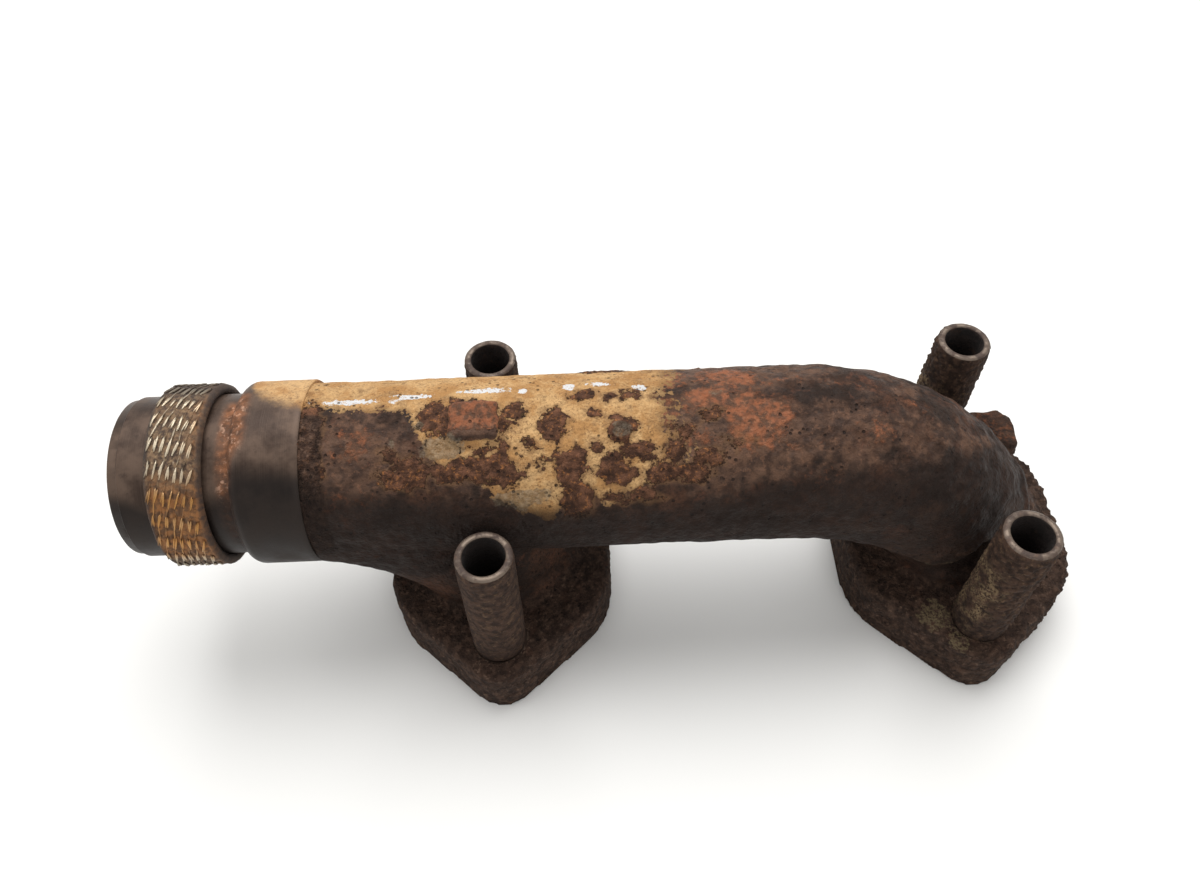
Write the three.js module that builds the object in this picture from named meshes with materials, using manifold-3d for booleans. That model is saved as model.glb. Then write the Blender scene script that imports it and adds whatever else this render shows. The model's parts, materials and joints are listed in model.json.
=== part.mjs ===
// End section of a cast-iron exhaust manifold: a log pipe with a slip-joint spigot at one end and an
// elbow at the other, two port flanges, a knitted-wire packing ring on the spigot, and four spacer
// sleeves that stand under the long flange bolts.
//
// Millimetres, +Z up. Z = 0 is the gasket plane of both flanges, X runs along the pipe from the
// spigot to the elbow, and the origin is in the middle of the object's box.

import * as THREE from "three";
import { mergeVertices } from "three/addons/utils/BufferGeometryUtils.js";
import Module from "manifold-3d";

const wasm = await Module();
wasm.setup();

// ---- Driving dimensions -------------------------------------------------------------------------

// Ports and flanges
const PORT_PITCH = 165;          // left port centre to right port centre
const PORT_LAND = 17;            // gasket face on each side of a port, along the pipe
const FLANGE_SIDE = 48;          // straight side before the corners are rounded
const FLANGE_THICKNESS = 21.5;
const FLANGE_CORNER_RADIUS = 26;
const FLANGE_TIP_RADIUS = 12.3;
const FLANGE_EDGE_BREAK = 1;     // small chamfer on the flange rims
const BOLT_TO_APEX = 20.35;      // bolt centre to the flange tip before it is rounded

// Pipe, branches and gas passage
const AXIS_HEIGHT = 69.1;        // pipe axis above the gasket plane
const GAS_BORE = 45;             // cored passage through the pipe, the branches and the ports
const WALL = 5.8;
const BRANCH_STRAIGHT = 4.1;     // height over which a branch leaves its port square on
const ELBOW_REACH = 65;          // length along the pipe in which the right branch turns

// Spigot end
const COLLAR_OFFSET = 54;        // left port centre to the near edge of the collar
const COLLAR_LENGTH = 21.5;
const COLLAR_STEP = 1.2;         // how far the collar stands proud of the pipe
const COLLAR_ROUND = 3.5;        // rounded shoulder towards the spigot
const SPIGOT_LENGTH = 36.8;
const SPIGOT_WALL = 4.3;
const SPIGOT_NARROWING = 2;      // gas bore less spigot bore
const SPIGOT_LEAD = 3;           // length of the lead-in at the spigot's end
const SPIGOT_LEAD_DEPTH = 0.8;

// Packing ring
const RING_THICKNESS = 3.6;
const RING_WIDTH = 17;
const RING_STANDOFF = 7.5;       // collar shoulder to the ring
const RING_STRANDS = 8;          // rounds of wire across the width
const RING_STRAND_DEPTH = 0.5;
const RING_CLEARANCE = 0.3;      // radial, on the spigot

// Bolt holes and spacer sleeves
const BOLT_SIZE = 12;
const BOLT_HOLE_CLEARANCE = 1.5; // flange hole over bolt
const SLEEVE_BORE_CLEARANCE = 1; // sleeve bore over bolt
const SLEEVE_WALL = 2.5;
const SLEEVE_STANDS = 55;        // above the flange face
const SLEEVE_CHAMFER = 0.5;
const SLEEVE_TO_PIPE = 1.85;     // gap between a sleeve and the side of the pipe
const SEAT_DEPTH = 1;            // spot face under each sleeve
const SEAT_CLEARANCE = 0.3;      // round the sleeve and under it

// Cast-on details
const PAD_LENGTH = 14.5;         // along the pipe
const PAD_WIDTH = 12.6;
const PAD_RISE = 2;              // above the top of the pipe
const PAD_OFFSET = -1.8;         // from the left port centre, along the pipe
const PAD_LEAN = 9;              // degrees from the top towards the front
const NUB_DIAMETER = 7;
const NUB_RISE = 1.8;
const NUB_OFFSET = 42;           // from the left port centre, along the pipe
const NUB_LEAN = 19.5;           // degrees from the top towards the front
const LUG_LENGTH = 13.5;         // along the pipe
const LUG_THICKNESS = 6;
const LUG_DROP = 23.1;           // pipe axis down to the top of the lug
const LUG_OFFSET = 22;           // right port centre to the free end of the lug
const LUG_SET_IN = 8.8;          // side of the pipe to the front face of the lug
const LUG_WIDTH = 12;            // front face to back face
const LUG_ROOT = 11;             // how far the front of the lug runs into the elbow
const LUG_CORNER = 4;

// Facets
const ROUND_STEPS = 36;          // round the pipe and the ring
const HOLE_STEPS = 28;           // round the sleeves and the bolt holes
const SWEEP_STEPS = 12;          // along each branch
const CORNER_STEPS = 6;
const CUT_PAST = 2;              // how far a cutter runs past the face it opens

// ---- Sizes and places worked out from them -------------------------------------------------------

const PIPE_OD = GAS_BORE + 2 * WALL;
const PIPE_RADIUS = PIPE_OD / 2;
const COLLAR_OD = PIPE_OD + 2 * COLLAR_STEP;
const SPIGOT_BORE = GAS_BORE - SPIGOT_NARROWING;
const SPIGOT_OD = SPIGOT_BORE + 2 * SPIGOT_WALL;
const RING_BORE = SPIGOT_OD + 2 * RING_CLEARANCE;
const RING_OD = RING_BORE + 2 * RING_THICKNESS;
const BOLT_HOLE = BOLT_SIZE + BOLT_HOLE_CLEARANCE;
const SLEEVE_BORE = BOLT_SIZE + SLEEVE_BORE_CLEARANCE;
const SLEEVE_OD = SLEEVE_BORE + 2 * SLEEVE_WALL;
const BOLT_SPACING = PIPE_OD + SLEEVE_OD + 2 * SLEEVE_TO_PIPE;
const FLANGE_WIDTH = GAS_BORE + 2 * PORT_LAND;
const FLANGE_APEX = BOLT_SPACING + 2 * BOLT_TO_APEX;
const MERGE_REACH = COLLAR_OFFSET + COLLAR_LENGTH - COLLAR_ROUND;
const COLLAR_NEAR = -COLLAR_OFFSET;
const COLLAR_SHOULDER = COLLAR_NEAR - COLLAR_LENGTH;
const SPIGOT_END = COLLAR_SHOULDER - SPIGOT_LENGTH;
const RING_NEAR = COLLAR_SHOULDER - RING_STANDOFF;
const RING_FAR = RING_NEAR - RING_WIDTH;
const RIGHT_END = PORT_PITCH + FLANGE_WIDTH / 2;
const MID_X = (SPIGOT_END + RIGHT_END) / 2;
const SLEEVE_BOTTOM = FLANGE_THICKNESS - SEAT_DEPTH + SEAT_CLEARANCE;
const SLEEVE_TOP = FLANGE_THICKNESS + SLEEVE_STANDS;
const LUG_TOP = AXIS_HEIGHT - LUG_DROP;
const LUG_FRONT = PIPE_RADIUS - LUG_SET_IN;
const PORTS = { left: 0, right: PORT_PITCH };
const ROWS = { front: -BOLT_SPACING / 2, rear: BOLT_SPACING / 2 };

// ---- Solids: from three.js geometry to a solid that can be joined or cut, and back ---------------

function solid(geometry) {
  const bare = new THREE.BufferGeometry();
  bare.setAttribute("position", geometry.getAttribute("position").clone());
  if (geometry.index) bare.setIndex(geometry.index.clone());
  const merged = mergeVertices(bare, 1e-4);
  const index = merged.index.array;
  const corners = [];
  for (let i = 0; i < index.length; i += 3) {
    const [a, b, c] = [index[i], index[i + 1], index[i + 2]];
    if (a !== b && b !== c && c !== a) corners.push(a, b, c);
  }
  const mesh = new wasm.Mesh({
    numProp: 3,
    vertProperties: new Float32Array(merged.getAttribute("position").array),
    triVerts: new Uint32Array(corners),
  });
  return new wasm.Manifold(mesh);
}

function geometryOf(manifold) {
  const mesh = manifold.getMesh();
  const geometry = new THREE.BufferGeometry();
  geometry.setAttribute("position", new THREE.BufferAttribute(mesh.vertProperties, 3));
  geometry.setIndex(new THREE.BufferAttribute(mesh.triVerts, 1));
  geometry.computeVertexNormals();
  return geometry;
}

// ---- Shapes --------------------------------------------------------------------------------------

// Points of a quarter-round corner about (cx, cy), from angle "from" to angle "to" in degrees.
function arc(cx, cy, radius, from, to, steps = CORNER_STEPS) {
  const points = [];
  for (let i = 0; i <= steps; i++) {
    const angle = THREE.MathUtils.degToRad(from + ((to - from) * i) / steps);
    points.push(new THREE.Vector2(cx + radius * Math.cos(angle), cy + radius * Math.sin(angle)));
  }
  return points;
}

// A convex outline whose corners are rounded, each with its own radius.
function roundedOutline(places, radii) {
  const corners = places.map(([x, y]) => new THREE.Vector2(x, y));
  const points = [];
  corners.forEach((corner, i) => {
    const before = corners[(i + corners.length - 1) % corners.length];
    const after = corners[(i + 1) % corners.length];
    const back = before.clone().sub(corner).normalize();
    const ahead = after.clone().sub(corner).normalize();
    const half = Math.acos(back.dot(ahead)) / 2;
    const centre = back.clone().add(ahead).normalize().multiplyScalar(radii[i] / Math.sin(half)).add(corner);
    const start = back.clone().multiplyScalar(radii[i] / Math.tan(half)).add(corner).sub(centre);
    const turn = Math.PI - 2 * half;
    for (let k = 0; k <= CORNER_STEPS; k++) {
      points.push(start.clone().rotateAround(new THREE.Vector2(), (turn * k) / CORNER_STEPS).add(centre));
    }
  });
  return new THREE.Shape(points);
}

function rectangle(length, width) {
  const [x, y] = [length / 2, width / 2];
  return [[x, -y], [x, y], [-x, y], [-x, -y]];
}

// A solid of revolution about the X axis. Profile points are (radius, x), from low x to high x.
function turnedAboutX(profile, steps = ROUND_STEPS) {
  const points = profile.map(([radius, x]) => new THREE.Vector2(radius, x));
  return new THREE.LatheGeometry(points, steps).rotateZ(-Math.PI / 2);
}

// The same about the Z axis, standing at (x, y). Profile points are (radius, z), from low to high.
function turnedAboutZ(profile, x, y, steps = HOLE_STEPS) {
  const points = profile.map(([radius, z]) => new THREE.Vector2(radius, z));
  return new THREE.LatheGeometry(points, steps).rotateX(Math.PI / 2).translate(x, y, 0);
}

function rodAboutX(radius, from, to) {
  return turnedAboutX([[0, from], [radius, from], [radius, to], [0, to]]).translate(0, 0, AXIS_HEIGHT);
}

function rodAboutZ(radius, from, to, x, y) {
  return turnedAboutZ([[0, from], [radius, from], [radius, to], [0, to]], x, y);
}

// Centre line of a branch: up from its port, then round a quarter ellipse into the pipe axis.
class BranchLine extends THREE.Curve {
  constructor(portX, reach, foot) {
    super();
    this.portX = portX;
    this.reach = reach;
    this.foot = foot;
  }

  getPoint(t, target = new THREE.Vector3()) {
    const upright = 0.12;
    const rise = AXIS_HEIGHT - BRANCH_STRAIGHT;
    if (t < upright) {
      return target.set(this.portX, 0, THREE.MathUtils.lerp(this.foot, BRANCH_STRAIGHT, t / upright));
    }
    const angle = (((t - upright) / (1 - upright)) * Math.PI) / 2;
    const x = this.portX - this.reach * (1 - Math.cos(angle));
    return target.set(x, 0, BRANCH_STRAIGHT + rise * Math.sin(angle));
  }
}

function branch(portX, reach, radius, foot) {
  const section = new THREE.Shape(arc(0, 0, radius, 0, 360 - 360 / ROUND_STEPS, ROUND_STEPS - 1));
  const extrudePath = new BranchLine(portX, reach, foot);
  return new THREE.ExtrudeGeometry(section, { steps: SWEEP_STEPS, extrudePath });
}

// ---- The casting ---------------------------------------------------------------------------------

function flange(portX) {
  const [x, side, apex] = [FLANGE_WIDTH / 2, FLANGE_SIDE / 2, FLANGE_APEX / 2];
  const corners = [[x, -side], [x, side], [0, apex], [-x, side], [-x, -side], [0, -apex]];
  const [round, tip] = [FLANGE_CORNER_RADIUS, FLANGE_TIP_RADIUS];
  const outline = roundedOutline(corners, [round, round, tip, round, round, tip]);
  return new THREE.ExtrudeGeometry(outline, {
    depth: FLANGE_THICKNESS - 2 * FLANGE_EDGE_BREAK,
    bevelEnabled: true,
    bevelThickness: FLANGE_EDGE_BREAK,
    bevelSize: FLANGE_EDGE_BREAK,
    bevelOffset: -FLANGE_EDGE_BREAK,
    bevelSegments: 1,
  }).translate(portX, 0, FLANGE_EDGE_BREAK);
}

// Spigot, collar and straight pipe, all turned about the pipe axis.
function pipeRun() {
  const [spigot, collar] = [SPIGOT_OD / 2, COLLAR_OD / 2];
  const shoulder = arc(collar - COLLAR_ROUND, COLLAR_SHOULDER + COLLAR_ROUND, COLLAR_ROUND, -90, 0, 4);
  const profile = [
    [0, SPIGOT_END],
    [spigot - SPIGOT_LEAD_DEPTH, SPIGOT_END],
    [spigot, SPIGOT_END + SPIGOT_LEAD],
    [spigot, COLLAR_SHOULDER],
    ...shoulder.filter((point) => point.x > spigot).map((point) => [point.x, point.y]),
    [collar, COLLAR_NEAR],
    [PIPE_RADIUS, COLLAR_NEAR],
    [PIPE_RADIUS, PORT_PITCH - ELBOW_REACH + CUT_PAST],
    [0, PORT_PITCH - ELBOW_REACH + CUT_PAST],
  ];
  return turnedAboutX(profile).translate(0, 0, AXIS_HEIGHT);
}

// Puts a shape that was made about the origin, pointing up, on the pipe at a lean towards the front.
function onPipe(geometry, offset, lean) {
  const angle = THREE.MathUtils.degToRad(lean);
  return geometry.rotateX(angle).translate(offset, 0, AXIS_HEIGHT);
}

function pad() {
  const outline = roundedOutline(rectangle(PAD_LENGTH, PAD_WIDTH), [2, 2, 2, 2]);
  const root = PIPE_RADIUS - WALL / 2;
  const depth = PIPE_RADIUS + PAD_RISE - root;
  const geometry = new THREE.ExtrudeGeometry(outline, { depth, bevelEnabled: false });
  return onPipe(geometry.translate(0, 0, root), PAD_OFFSET, PAD_LEAN);
}

function nub() {
  const [radius, root] = [NUB_DIAMETER / 2, PIPE_RADIUS - WALL / 2];
  const [edge, top] = [PIPE_RADIUS + NUB_RISE / 3, PIPE_RADIUS + NUB_RISE];
  const profile = [[0, root], [radius, root], [radius, edge], [radius * 0.65, top], [0, top]];
  return onPipe(turnedAboutZ(profile, 0, 0, 12), NUB_OFFSET, NUB_LEAN);
}

// A flat tongue behind the elbow, with its free end to the right.
function lug() {
  const [front, back] = [LUG_FRONT, LUG_FRONT + LUG_WIDTH];
  const corners = [[0, front], [0, back], [-LUG_LENGTH, back], [-LUG_LENGTH - LUG_ROOT, front]];
  const outline = roundedOutline(corners, [1, LUG_CORNER, 1, 1]);
  const geometry = new THREE.ExtrudeGeometry(outline, { depth: LUG_THICKNESS, bevelEnabled: false });
  return geometry.translate(PORT_PITCH + LUG_OFFSET, 0, LUG_TOP - LUG_THICKNESS);
}

function manifoldCasting() {
  let body = solid(pipeRun());
  const added = [
    branch(PORTS.left, MERGE_REACH, PIPE_RADIUS, FLANGE_EDGE_BREAK),
    branch(PORTS.right, ELBOW_REACH, PIPE_RADIUS, FLANGE_EDGE_BREAK),
    flange(PORTS.left),
    flange(PORTS.right),
    pad(),
    nub(),
    lug(),
  ];
  for (const piece of added) body = body.add(solid(piece));

  const passage = [
    rodAboutX(SPIGOT_BORE / 2, SPIGOT_END - CUT_PAST, COLLAR_SHOULDER),
    rodAboutX(GAS_BORE / 2, COLLAR_SHOULDER - CUT_PAST, PORT_PITCH - ELBOW_REACH + CUT_PAST),
    branch(PORTS.left, MERGE_REACH, GAS_BORE / 2, -CUT_PAST),
    branch(PORTS.right, ELBOW_REACH, GAS_BORE / 2, -CUT_PAST),
  ];
  for (const piece of passage) body = body.subtract(solid(piece));

  const seat = SLEEVE_OD / 2 + SEAT_CLEARANCE;
  for (const x of Object.values(PORTS)) {
    for (const y of Object.values(ROWS)) {
      body = body.subtract(solid(rodAboutZ(BOLT_HOLE / 2, -CUT_PAST, SLEEVE_TOP, x, y)));
      body = body.subtract(solid(rodAboutZ(seat, FLANGE_THICKNESS - SEAT_DEPTH, SLEEVE_TOP, x, y)));
    }
  }
  return geometryOf(body);
}

// ---- Loose pieces --------------------------------------------------------------------------------

// A closed ring section: a plain bore with rounds of wire side by side over the outside.
function packingRing() {
  const [inner, outer] = [RING_BORE / 2, RING_OD / 2];
  const strand = RING_WIDTH / RING_STRANDS;
  const crest = [];
  for (let i = 0; i < RING_STRANDS; i++) {
    const from = RING_FAR + i * strand;
    crest.push([outer - RING_STRAND_DEPTH, from]);
    crest.push([outer, from + strand * 0.35], [outer, from + strand * 0.65]);
  }
  crest.push([outer - RING_STRAND_DEPTH, RING_NEAR]);
  const profile = [[inner, RING_FAR], ...crest, [inner, RING_NEAR], [inner, RING_FAR]];
  return turnedAboutX(profile).translate(0, 0, AXIS_HEIGHT);
}

function spacerSleeve(x, y) {
  const [inner, outer, cut] = [SLEEVE_BORE / 2, SLEEVE_OD / 2, SLEEVE_CHAMFER];
  const profile = [
    [inner, SLEEVE_BOTTOM],
    [outer - cut, SLEEVE_BOTTOM],
    [outer, SLEEVE_BOTTOM + cut],
    [outer, SLEEVE_TOP - cut],
    [outer - cut, SLEEVE_TOP],
    [inner + cut, SLEEVE_TOP],
    [inner, SLEEVE_TOP - cut],
    [inner, SLEEVE_BOTTOM],
  ];
  return turnedAboutZ(profile, x, y);
}

// ---- Assembly ------------------------------------------------------------------------------------

const CAST_IRON = { color: 0x5b443a, roughness: 0.9, metalness: 0.35 };
const WIRE = { color: 0xa08a6a, roughness: 0.55, metalness: 0.8 };
const SLEEVE_STEEL = { color: 0x594b44, roughness: 0.75, metalness: 0.6 };

function piece(name, geometry, finish) {
  const mesh = new THREE.Mesh(geometry, new THREE.MeshStandardMaterial(finish));
  mesh.name = name;
  return mesh;
}

const exhaustManifold = new THREE.Group();
exhaustManifold.position.x = -MID_X;
exhaustManifold.add(piece("manifold_casting", manifoldCasting(), CAST_IRON));
exhaustManifold.add(piece("packing_ring", packingRing(), WIRE));
for (const [row, y] of Object.entries(ROWS)) {
  for (const [side, x] of Object.entries(PORTS)) {
    exhaustManifold.add(piece(`spacer_sleeve_${row}_${side}`, spacerSleeve(x, y), SLEEVE_STEEL));
  }
}

export default exhaustManifold;
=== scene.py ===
import json
import math
import random

import bmesh
import bpy
import numpy as np
from bpy.props import FloatProperty, FloatVectorProperty, IntProperty, PointerProperty
from mathutils import Matrix, Vector, noise


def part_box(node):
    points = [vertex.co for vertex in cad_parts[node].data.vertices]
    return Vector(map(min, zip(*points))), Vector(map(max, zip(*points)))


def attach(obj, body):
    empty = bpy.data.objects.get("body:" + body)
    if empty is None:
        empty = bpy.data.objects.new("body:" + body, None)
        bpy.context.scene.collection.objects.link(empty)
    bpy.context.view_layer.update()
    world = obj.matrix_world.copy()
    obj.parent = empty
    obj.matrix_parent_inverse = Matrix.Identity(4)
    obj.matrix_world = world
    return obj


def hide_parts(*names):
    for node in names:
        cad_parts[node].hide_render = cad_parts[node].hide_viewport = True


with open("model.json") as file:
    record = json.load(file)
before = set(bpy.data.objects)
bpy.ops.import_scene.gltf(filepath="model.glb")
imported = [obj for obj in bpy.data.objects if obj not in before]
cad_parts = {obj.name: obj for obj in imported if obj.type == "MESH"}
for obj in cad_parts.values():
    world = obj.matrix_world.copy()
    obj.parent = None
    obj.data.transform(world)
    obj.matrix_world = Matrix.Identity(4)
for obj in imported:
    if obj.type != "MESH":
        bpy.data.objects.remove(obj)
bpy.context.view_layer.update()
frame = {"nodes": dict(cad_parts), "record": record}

bl_info = {
    "name": "Exhaust Manifold Section",
    "version": (1, 0, 0),
    "blender": (4, 5, 0),
    "location": "View3D > Sidebar > Manifold",
    "description": "Builds the looks of a used cast-iron exhaust manifold section around its CAD frame",
    "category": "Object",
}

MM = 0.001


def tint(red, green, blue):
    """A colour given by its display values, 0 to 255, as scene-linear red, green, blue and alpha."""
    channels = (value / 255 for value in (red, green, blue))
    linear = [c / 12.92 if c <= 0.04045 else ((c + 0.055) / 1.055) ** 2.4 for c in channels]
    return (*linear, 1.0)


# ---- Places taken from the CAD frame ------------------------------------------------------------

RING_LOW, RING_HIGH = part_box("packing_ring")
CAST_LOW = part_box("manifold_casting")[0]
SLEEVES = {name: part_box(name) for name in sorted(frame["nodes"]) if name.startswith("spacer_sleeve")}
SLEEVE_BODY = {node: body for body,
               nodes in frame["record"]["behaviour"]["bodies"].items() for node in nodes}


def middle(node):
    low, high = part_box(node)
    return (low + high) / 2


AXIS = (RING_LOW.z + RING_HIGH.z) / 2
LEFT_PORT = middle("spacer_sleeve_front_left").x
RIGHT_PORT = middle("spacer_sleeve_front_right").x
SLEEVE_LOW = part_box("spacer_sleeve_front_left")[0]
SEAT = SLEEVE_LOW.z - 0.3 * MM
SPIGOT_END = CAST_LOW.x
SLEEVE_ROOM = 3  # mm of skin beside a sleeve that may not swell towards it
SLEEVE_ROOM_FLOOR = 24  # mm; the rule holds above this height


# ---- Sizes and colours a user may change --------------------------------------------------------

def length(name, description, millimetres):
    return FloatProperty(name=name, description=description, default=millimetres * MM, min=0.0,
                         unit="LENGTH")


def colour(name, description, red, green, blue):
    value = tint(red, green, blue)
    return FloatVectorProperty(name=name, description=description, default=value, size=4, subtype="COLOR",
                               min=0.0, max=1.0)


class ManifoldSizes(bpy.types.PropertyGroup):
    pipe_radius: length("Pipe radius", "Outside radius of the pipe and the elbow", 28.3)
    gas_radius: length("Gas passage radius", "Radius of the cored passage", 22.5)
    neck_radius: length("Neck radius", "Radius of the recessed neck under the elbow", 25.2)
    elbow_reach: length("Elbow reach", "Bend radius of the elbow", 65.0)
    merge_reach: length("Left branch reach", "Length in which the left branch runs into the pipe", 72.0)
    branch_foot: length("Branch foot", "Height at which a branch starts to bend", 4.1)
    flange_width: length("Flange width", "Flange size along the pipe", 79.0)
    flange_apex: length("Flange length", "Flange size across the pipe before its tips are rounded", 119.0)
    flange_side: length("Flange side", "Straight side of a flange before its corners are rounded", 48.0)
    flange_thickness: length("Flange thickness", "Thickness of the port flanges", 21.5)
    spigot_radius: length("Spigot radius", "Outside radius of the slip-joint spigot", 25.8)
    spigot_bore: length("Spigot bore radius", "Inside radius of the spigot", 21.5)
    collar_radius: length("Collar radius", "Outside radius of the machined collar", 29.5)
    collar_length: length("Collar length", "Length of the machined collar", 21.5)
    bolt_hole: length("Bolt hole radius", "Radius of the holes in the flanges", 6.75)
    voxel: length("Cast grid", "Grid size of the cast skin; smaller shows finer casting marks", 1.12)
    ring_columns: IntProperty(name="Wire columns", description="Columns of wire across the ring", default=7,
                              min=1)
    ring_rows: IntProperty(name="Wire rows", description="Rows of wire round the ring", default=23, min=3)


class ManifoldColours(bpy.types.PropertyGroup):
    iron: colour("Dark iron", "Heat-darkened cast skin", 44, 31, 24)
    brown: colour("Brown iron", "Brown rusted cast skin", 76, 51, 38)
    slate: colour("Slate iron", "Dull dark patches on the elbow", 56, 43, 36)
    # Soot colour: real soot in the gas passage, and painted shade on the underside, the low parts, the neck
    # and the pad's front sides of the casting.
    soot_and_shade: colour("Soot", "Soot in the passage and on the underside", 30, 21, 17)
    dust: colour("Dust coat", "Cream-tan heat dust on top of the pipe", 166, 124, 78)
    dust_pale: colour("Pale dust", "Palest part of the dust coat", 196, 158, 110)
    orange: colour("Orange rust", "Bright rust on the middle of the pipe", 146, 88, 58)
    scab: colour("Scab rust", "Dark ragged rust patches", 114, 78, 58)
    ember: colour("Ember rust", "Bright specks in the rust patches", 182, 120, 68)
    grey: colour("Bare grey", "Grey burnished metal", 128, 116, 98)
    paint: colour("Paint", "Worn white marking paint", 205, 205, 205)
    turned: colour("Turned iron", "Machined collar and spigot", 97, 79, 67)
    wire: colour("Worn wire", "Bright worn crowns of the wire", 196, 182, 158)
    floor: colour("Bench", "Pale bench top", 236, 235, 232)


def sizes():
    return bpy.context.scene.manifold_sizes


def colours():
    return bpy.context.scene.manifold_colours


# ---- Modelling helpers --------------------------------------------------------------------------

def to_object(name, shape):
    """Turns a bmesh into an object at the origin."""
    mesh = bpy.data.meshes.new(name)
    shape.to_mesh(mesh)
    shape.free()
    obj = bpy.data.objects.new(name, mesh)
    bpy.context.scene.collection.objects.link(obj)
    return obj


def outward(shape):
    bmesh.ops.remove_doubles(shape, verts=shape.verts, dist=1e-6)
    bmesh.ops.recalc_face_normals(shape, faces=shape.faces)
    return shape


def spun(profile, axis, centre, steps, along=(1, 0, 0), out=(0, 0, 1)):
    """A closed solid of revolution. Profile points are (radius, distance along the axis)."""
    shape = bmesh.new()
    along, out, centre = Vector(along), Vector(out), Vector(centre)
    points = [shape.verts.new(centre + along * place + out * radius) for radius, place in profile]
    edges = [shape.edges.new(pair) for pair in zip(points, points[1:])]
    if profile[0][0] > 0 or profile[-1][0] > 0:
        edges.append(shape.edges.new((points[-1], points[0])))
    bmesh.ops.spin(shape, geom=[*shape.verts, *edges], cent=centre, axis=Vector(axis), dvec=(0, 0, 0),
                   angle=math.tau, steps=steps, use_merge=True, use_duplicate=False)
    return outward(shape)


def spun_about_pipe(profile, steps):
    return spun(profile, (1, 0, 0), (0, 0, AXIS), steps)


def spun_upright(profile, x, y, steps):
    return spun(profile, (0, 0, 1), (x, y, 0), steps, along=(0, 0, 1), out=(1, 0, 0))


def swept(radius, stations, segments):
    """A capped round bar through stations of (x, z, tilt). Tilt 0 faces up, a quarter turn faces -X."""
    shape = bmesh.new()
    x, z, tilt = stations[0]
    place = Matrix.Translation((x, 0, z)) @ Matrix.Rotation(-tilt, 4, "Y")
    bmesh.ops.create_circle(shape, cap_ends=False, radius=radius, segments=segments, matrix=place)
    first = edges = list(shape.edges)
    for x2, z2, tilt2 in stations[1:]:
        grown = bmesh.ops.extrude_edge_only(shape, edges=edges)["geom"]
        verts = [part for part in grown if isinstance(part, bmesh.types.BMVert)]
        edges = [part for part in grown if isinstance(part, bmesh.types.BMEdge)]
        bmesh.ops.rotate(shape, verts=verts, cent=(x, 0, z), matrix=Matrix.Rotation(tilt - tilt2, 3, "Y"))
        bmesh.ops.translate(shape, verts=verts, vec=(x2 - x, 0, z2 - z))
        x, z, tilt = x2, z2, tilt2
    for loop in (first, edges):
        bmesh.ops.contextual_create(shape, geom=loop)
    return outward(shape)


def bend(port, reach, foot, steps=28):
    """Stations from below the flange, up through the port, and round a quarter ellipse into the pipe."""
    low = sizes().branch_foot
    rise = AXIS - low
    stations = [(port, foot, 0.0), (port, (foot + low) / 2, 0.0)]
    for i in range(steps + 1):
        turn = i / steps * math.pi / 2
        tilt = math.atan2(reach * math.sin(turn), rise * math.cos(turn))
        stations.append((port - reach * (1 - math.cos(turn)), low + rise * math.sin(turn), tilt))
    return stations


def prism(outline, axis, start, end):
    """A closed prism. The outline holds pairs in the two directions that are not the axis."""
    shape = bmesh.new()
    spread = {"y": lambda a, b: (a, start, b), "z": lambda a, b: (a, b, start)}[axis]
    verts = [shape.verts.new(spread(a, b)) for a, b in outline]
    shape.faces.new(verts)
    grown = bmesh.ops.extrude_face_region(shape, geom=list(shape.faces))["geom"]
    top = [part for part in grown if isinstance(part, bmesh.types.BMVert)]
    vec = {"y": (0, end - start, 0), "z": (0, 0, end - start)}[axis]
    bmesh.ops.translate(shape, verts=top, vec=vec)
    return outward(shape)


def join_into(target, shape):
    """Adds a closed shape to another bmesh."""
    mesh = bpy.data.meshes.new("part")
    shape.to_mesh(mesh)
    shape.free()
    target.from_mesh(mesh)
    bpy.data.meshes.remove(mesh)


def settle(obj, kind, **settings):
    """Adds a modifier with these settings and makes its result the object's own mesh."""
    modifier = obj.modifiers.new(kind.title(), kind)
    for key, value in settings.items():
        setattr(modifier, key, value)
    graph = bpy.context.evaluated_depsgraph_get()
    mesh = bpy.data.meshes.new_from_object(obj.evaluated_get(graph))
    obj.modifiers.clear()
    old = obj.data
    obj.data = mesh
    bpy.data.meshes.remove(old)


def combine(obj, shape, operation):
    """Cuts a closed shape out of the object, or adds it to the object."""
    tool = to_object("tool", shape)
    settle(obj, "BOOLEAN", object=tool, operation=operation, solver="MANIFOLD")
    mesh = tool.data
    bpy.data.objects.remove(tool)
    bpy.data.meshes.remove(mesh)
    if not obj.data.polygons:
        raise RuntimeError(f"{operation} left {obj.name} empty")


def places(mesh):
    """Vertex positions in millimetres."""
    values = np.empty(len(mesh.vertices) * 3)
    mesh.vertices.foreach_get("co", values)
    return values.reshape(-1, 3) / MM


def directions(mesh):
    values = np.empty(len(mesh.vertices) * 3)
    mesh.vertices.foreach_get("normal", values)
    return values.reshape(-1, 3)


def move_vertices(mesh, offsets):
    """Moves every vertex by its offset in millimetres."""
    moved = (places(mesh) + offsets) * MM
    mesh.vertices.foreach_set("co", moved.ravel())
    mesh.update()


def rough(points, size, seed=0.0):
    """Smooth noise from about -1 to 1 whose lumps are about size millimetres across."""
    shift = Vector((seed * 17.3, seed * 7.1, seed * 3.7))
    return np.array([noise.noise(Vector(p) / size + shift) for p in points])


def crumbs(points, size, seed=0.0):
    """Rounded crumbs about size millimetres across: 1 on top of a crumb, 0 in the gaps."""
    shift = Vector((seed * 11.9, seed * 5.3, seed * 2.9))
    away = np.array([noise.voronoi(Vector(p) / size + shift)[0][0] for p in points])
    return np.clip(1.1 - 1.5 * away, 0, 1)


def step(values, low, high):
    t = np.clip((values - low) / (high - low), 0.0, 1.0)
    return t * t * (3 - 2 * t)


def store(mesh, name, values):
    layer = mesh.attributes.new(name, "FLOAT", "POINT")
    layer.data.foreach_set("value", np.asarray(values, dtype=np.float32))


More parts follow.
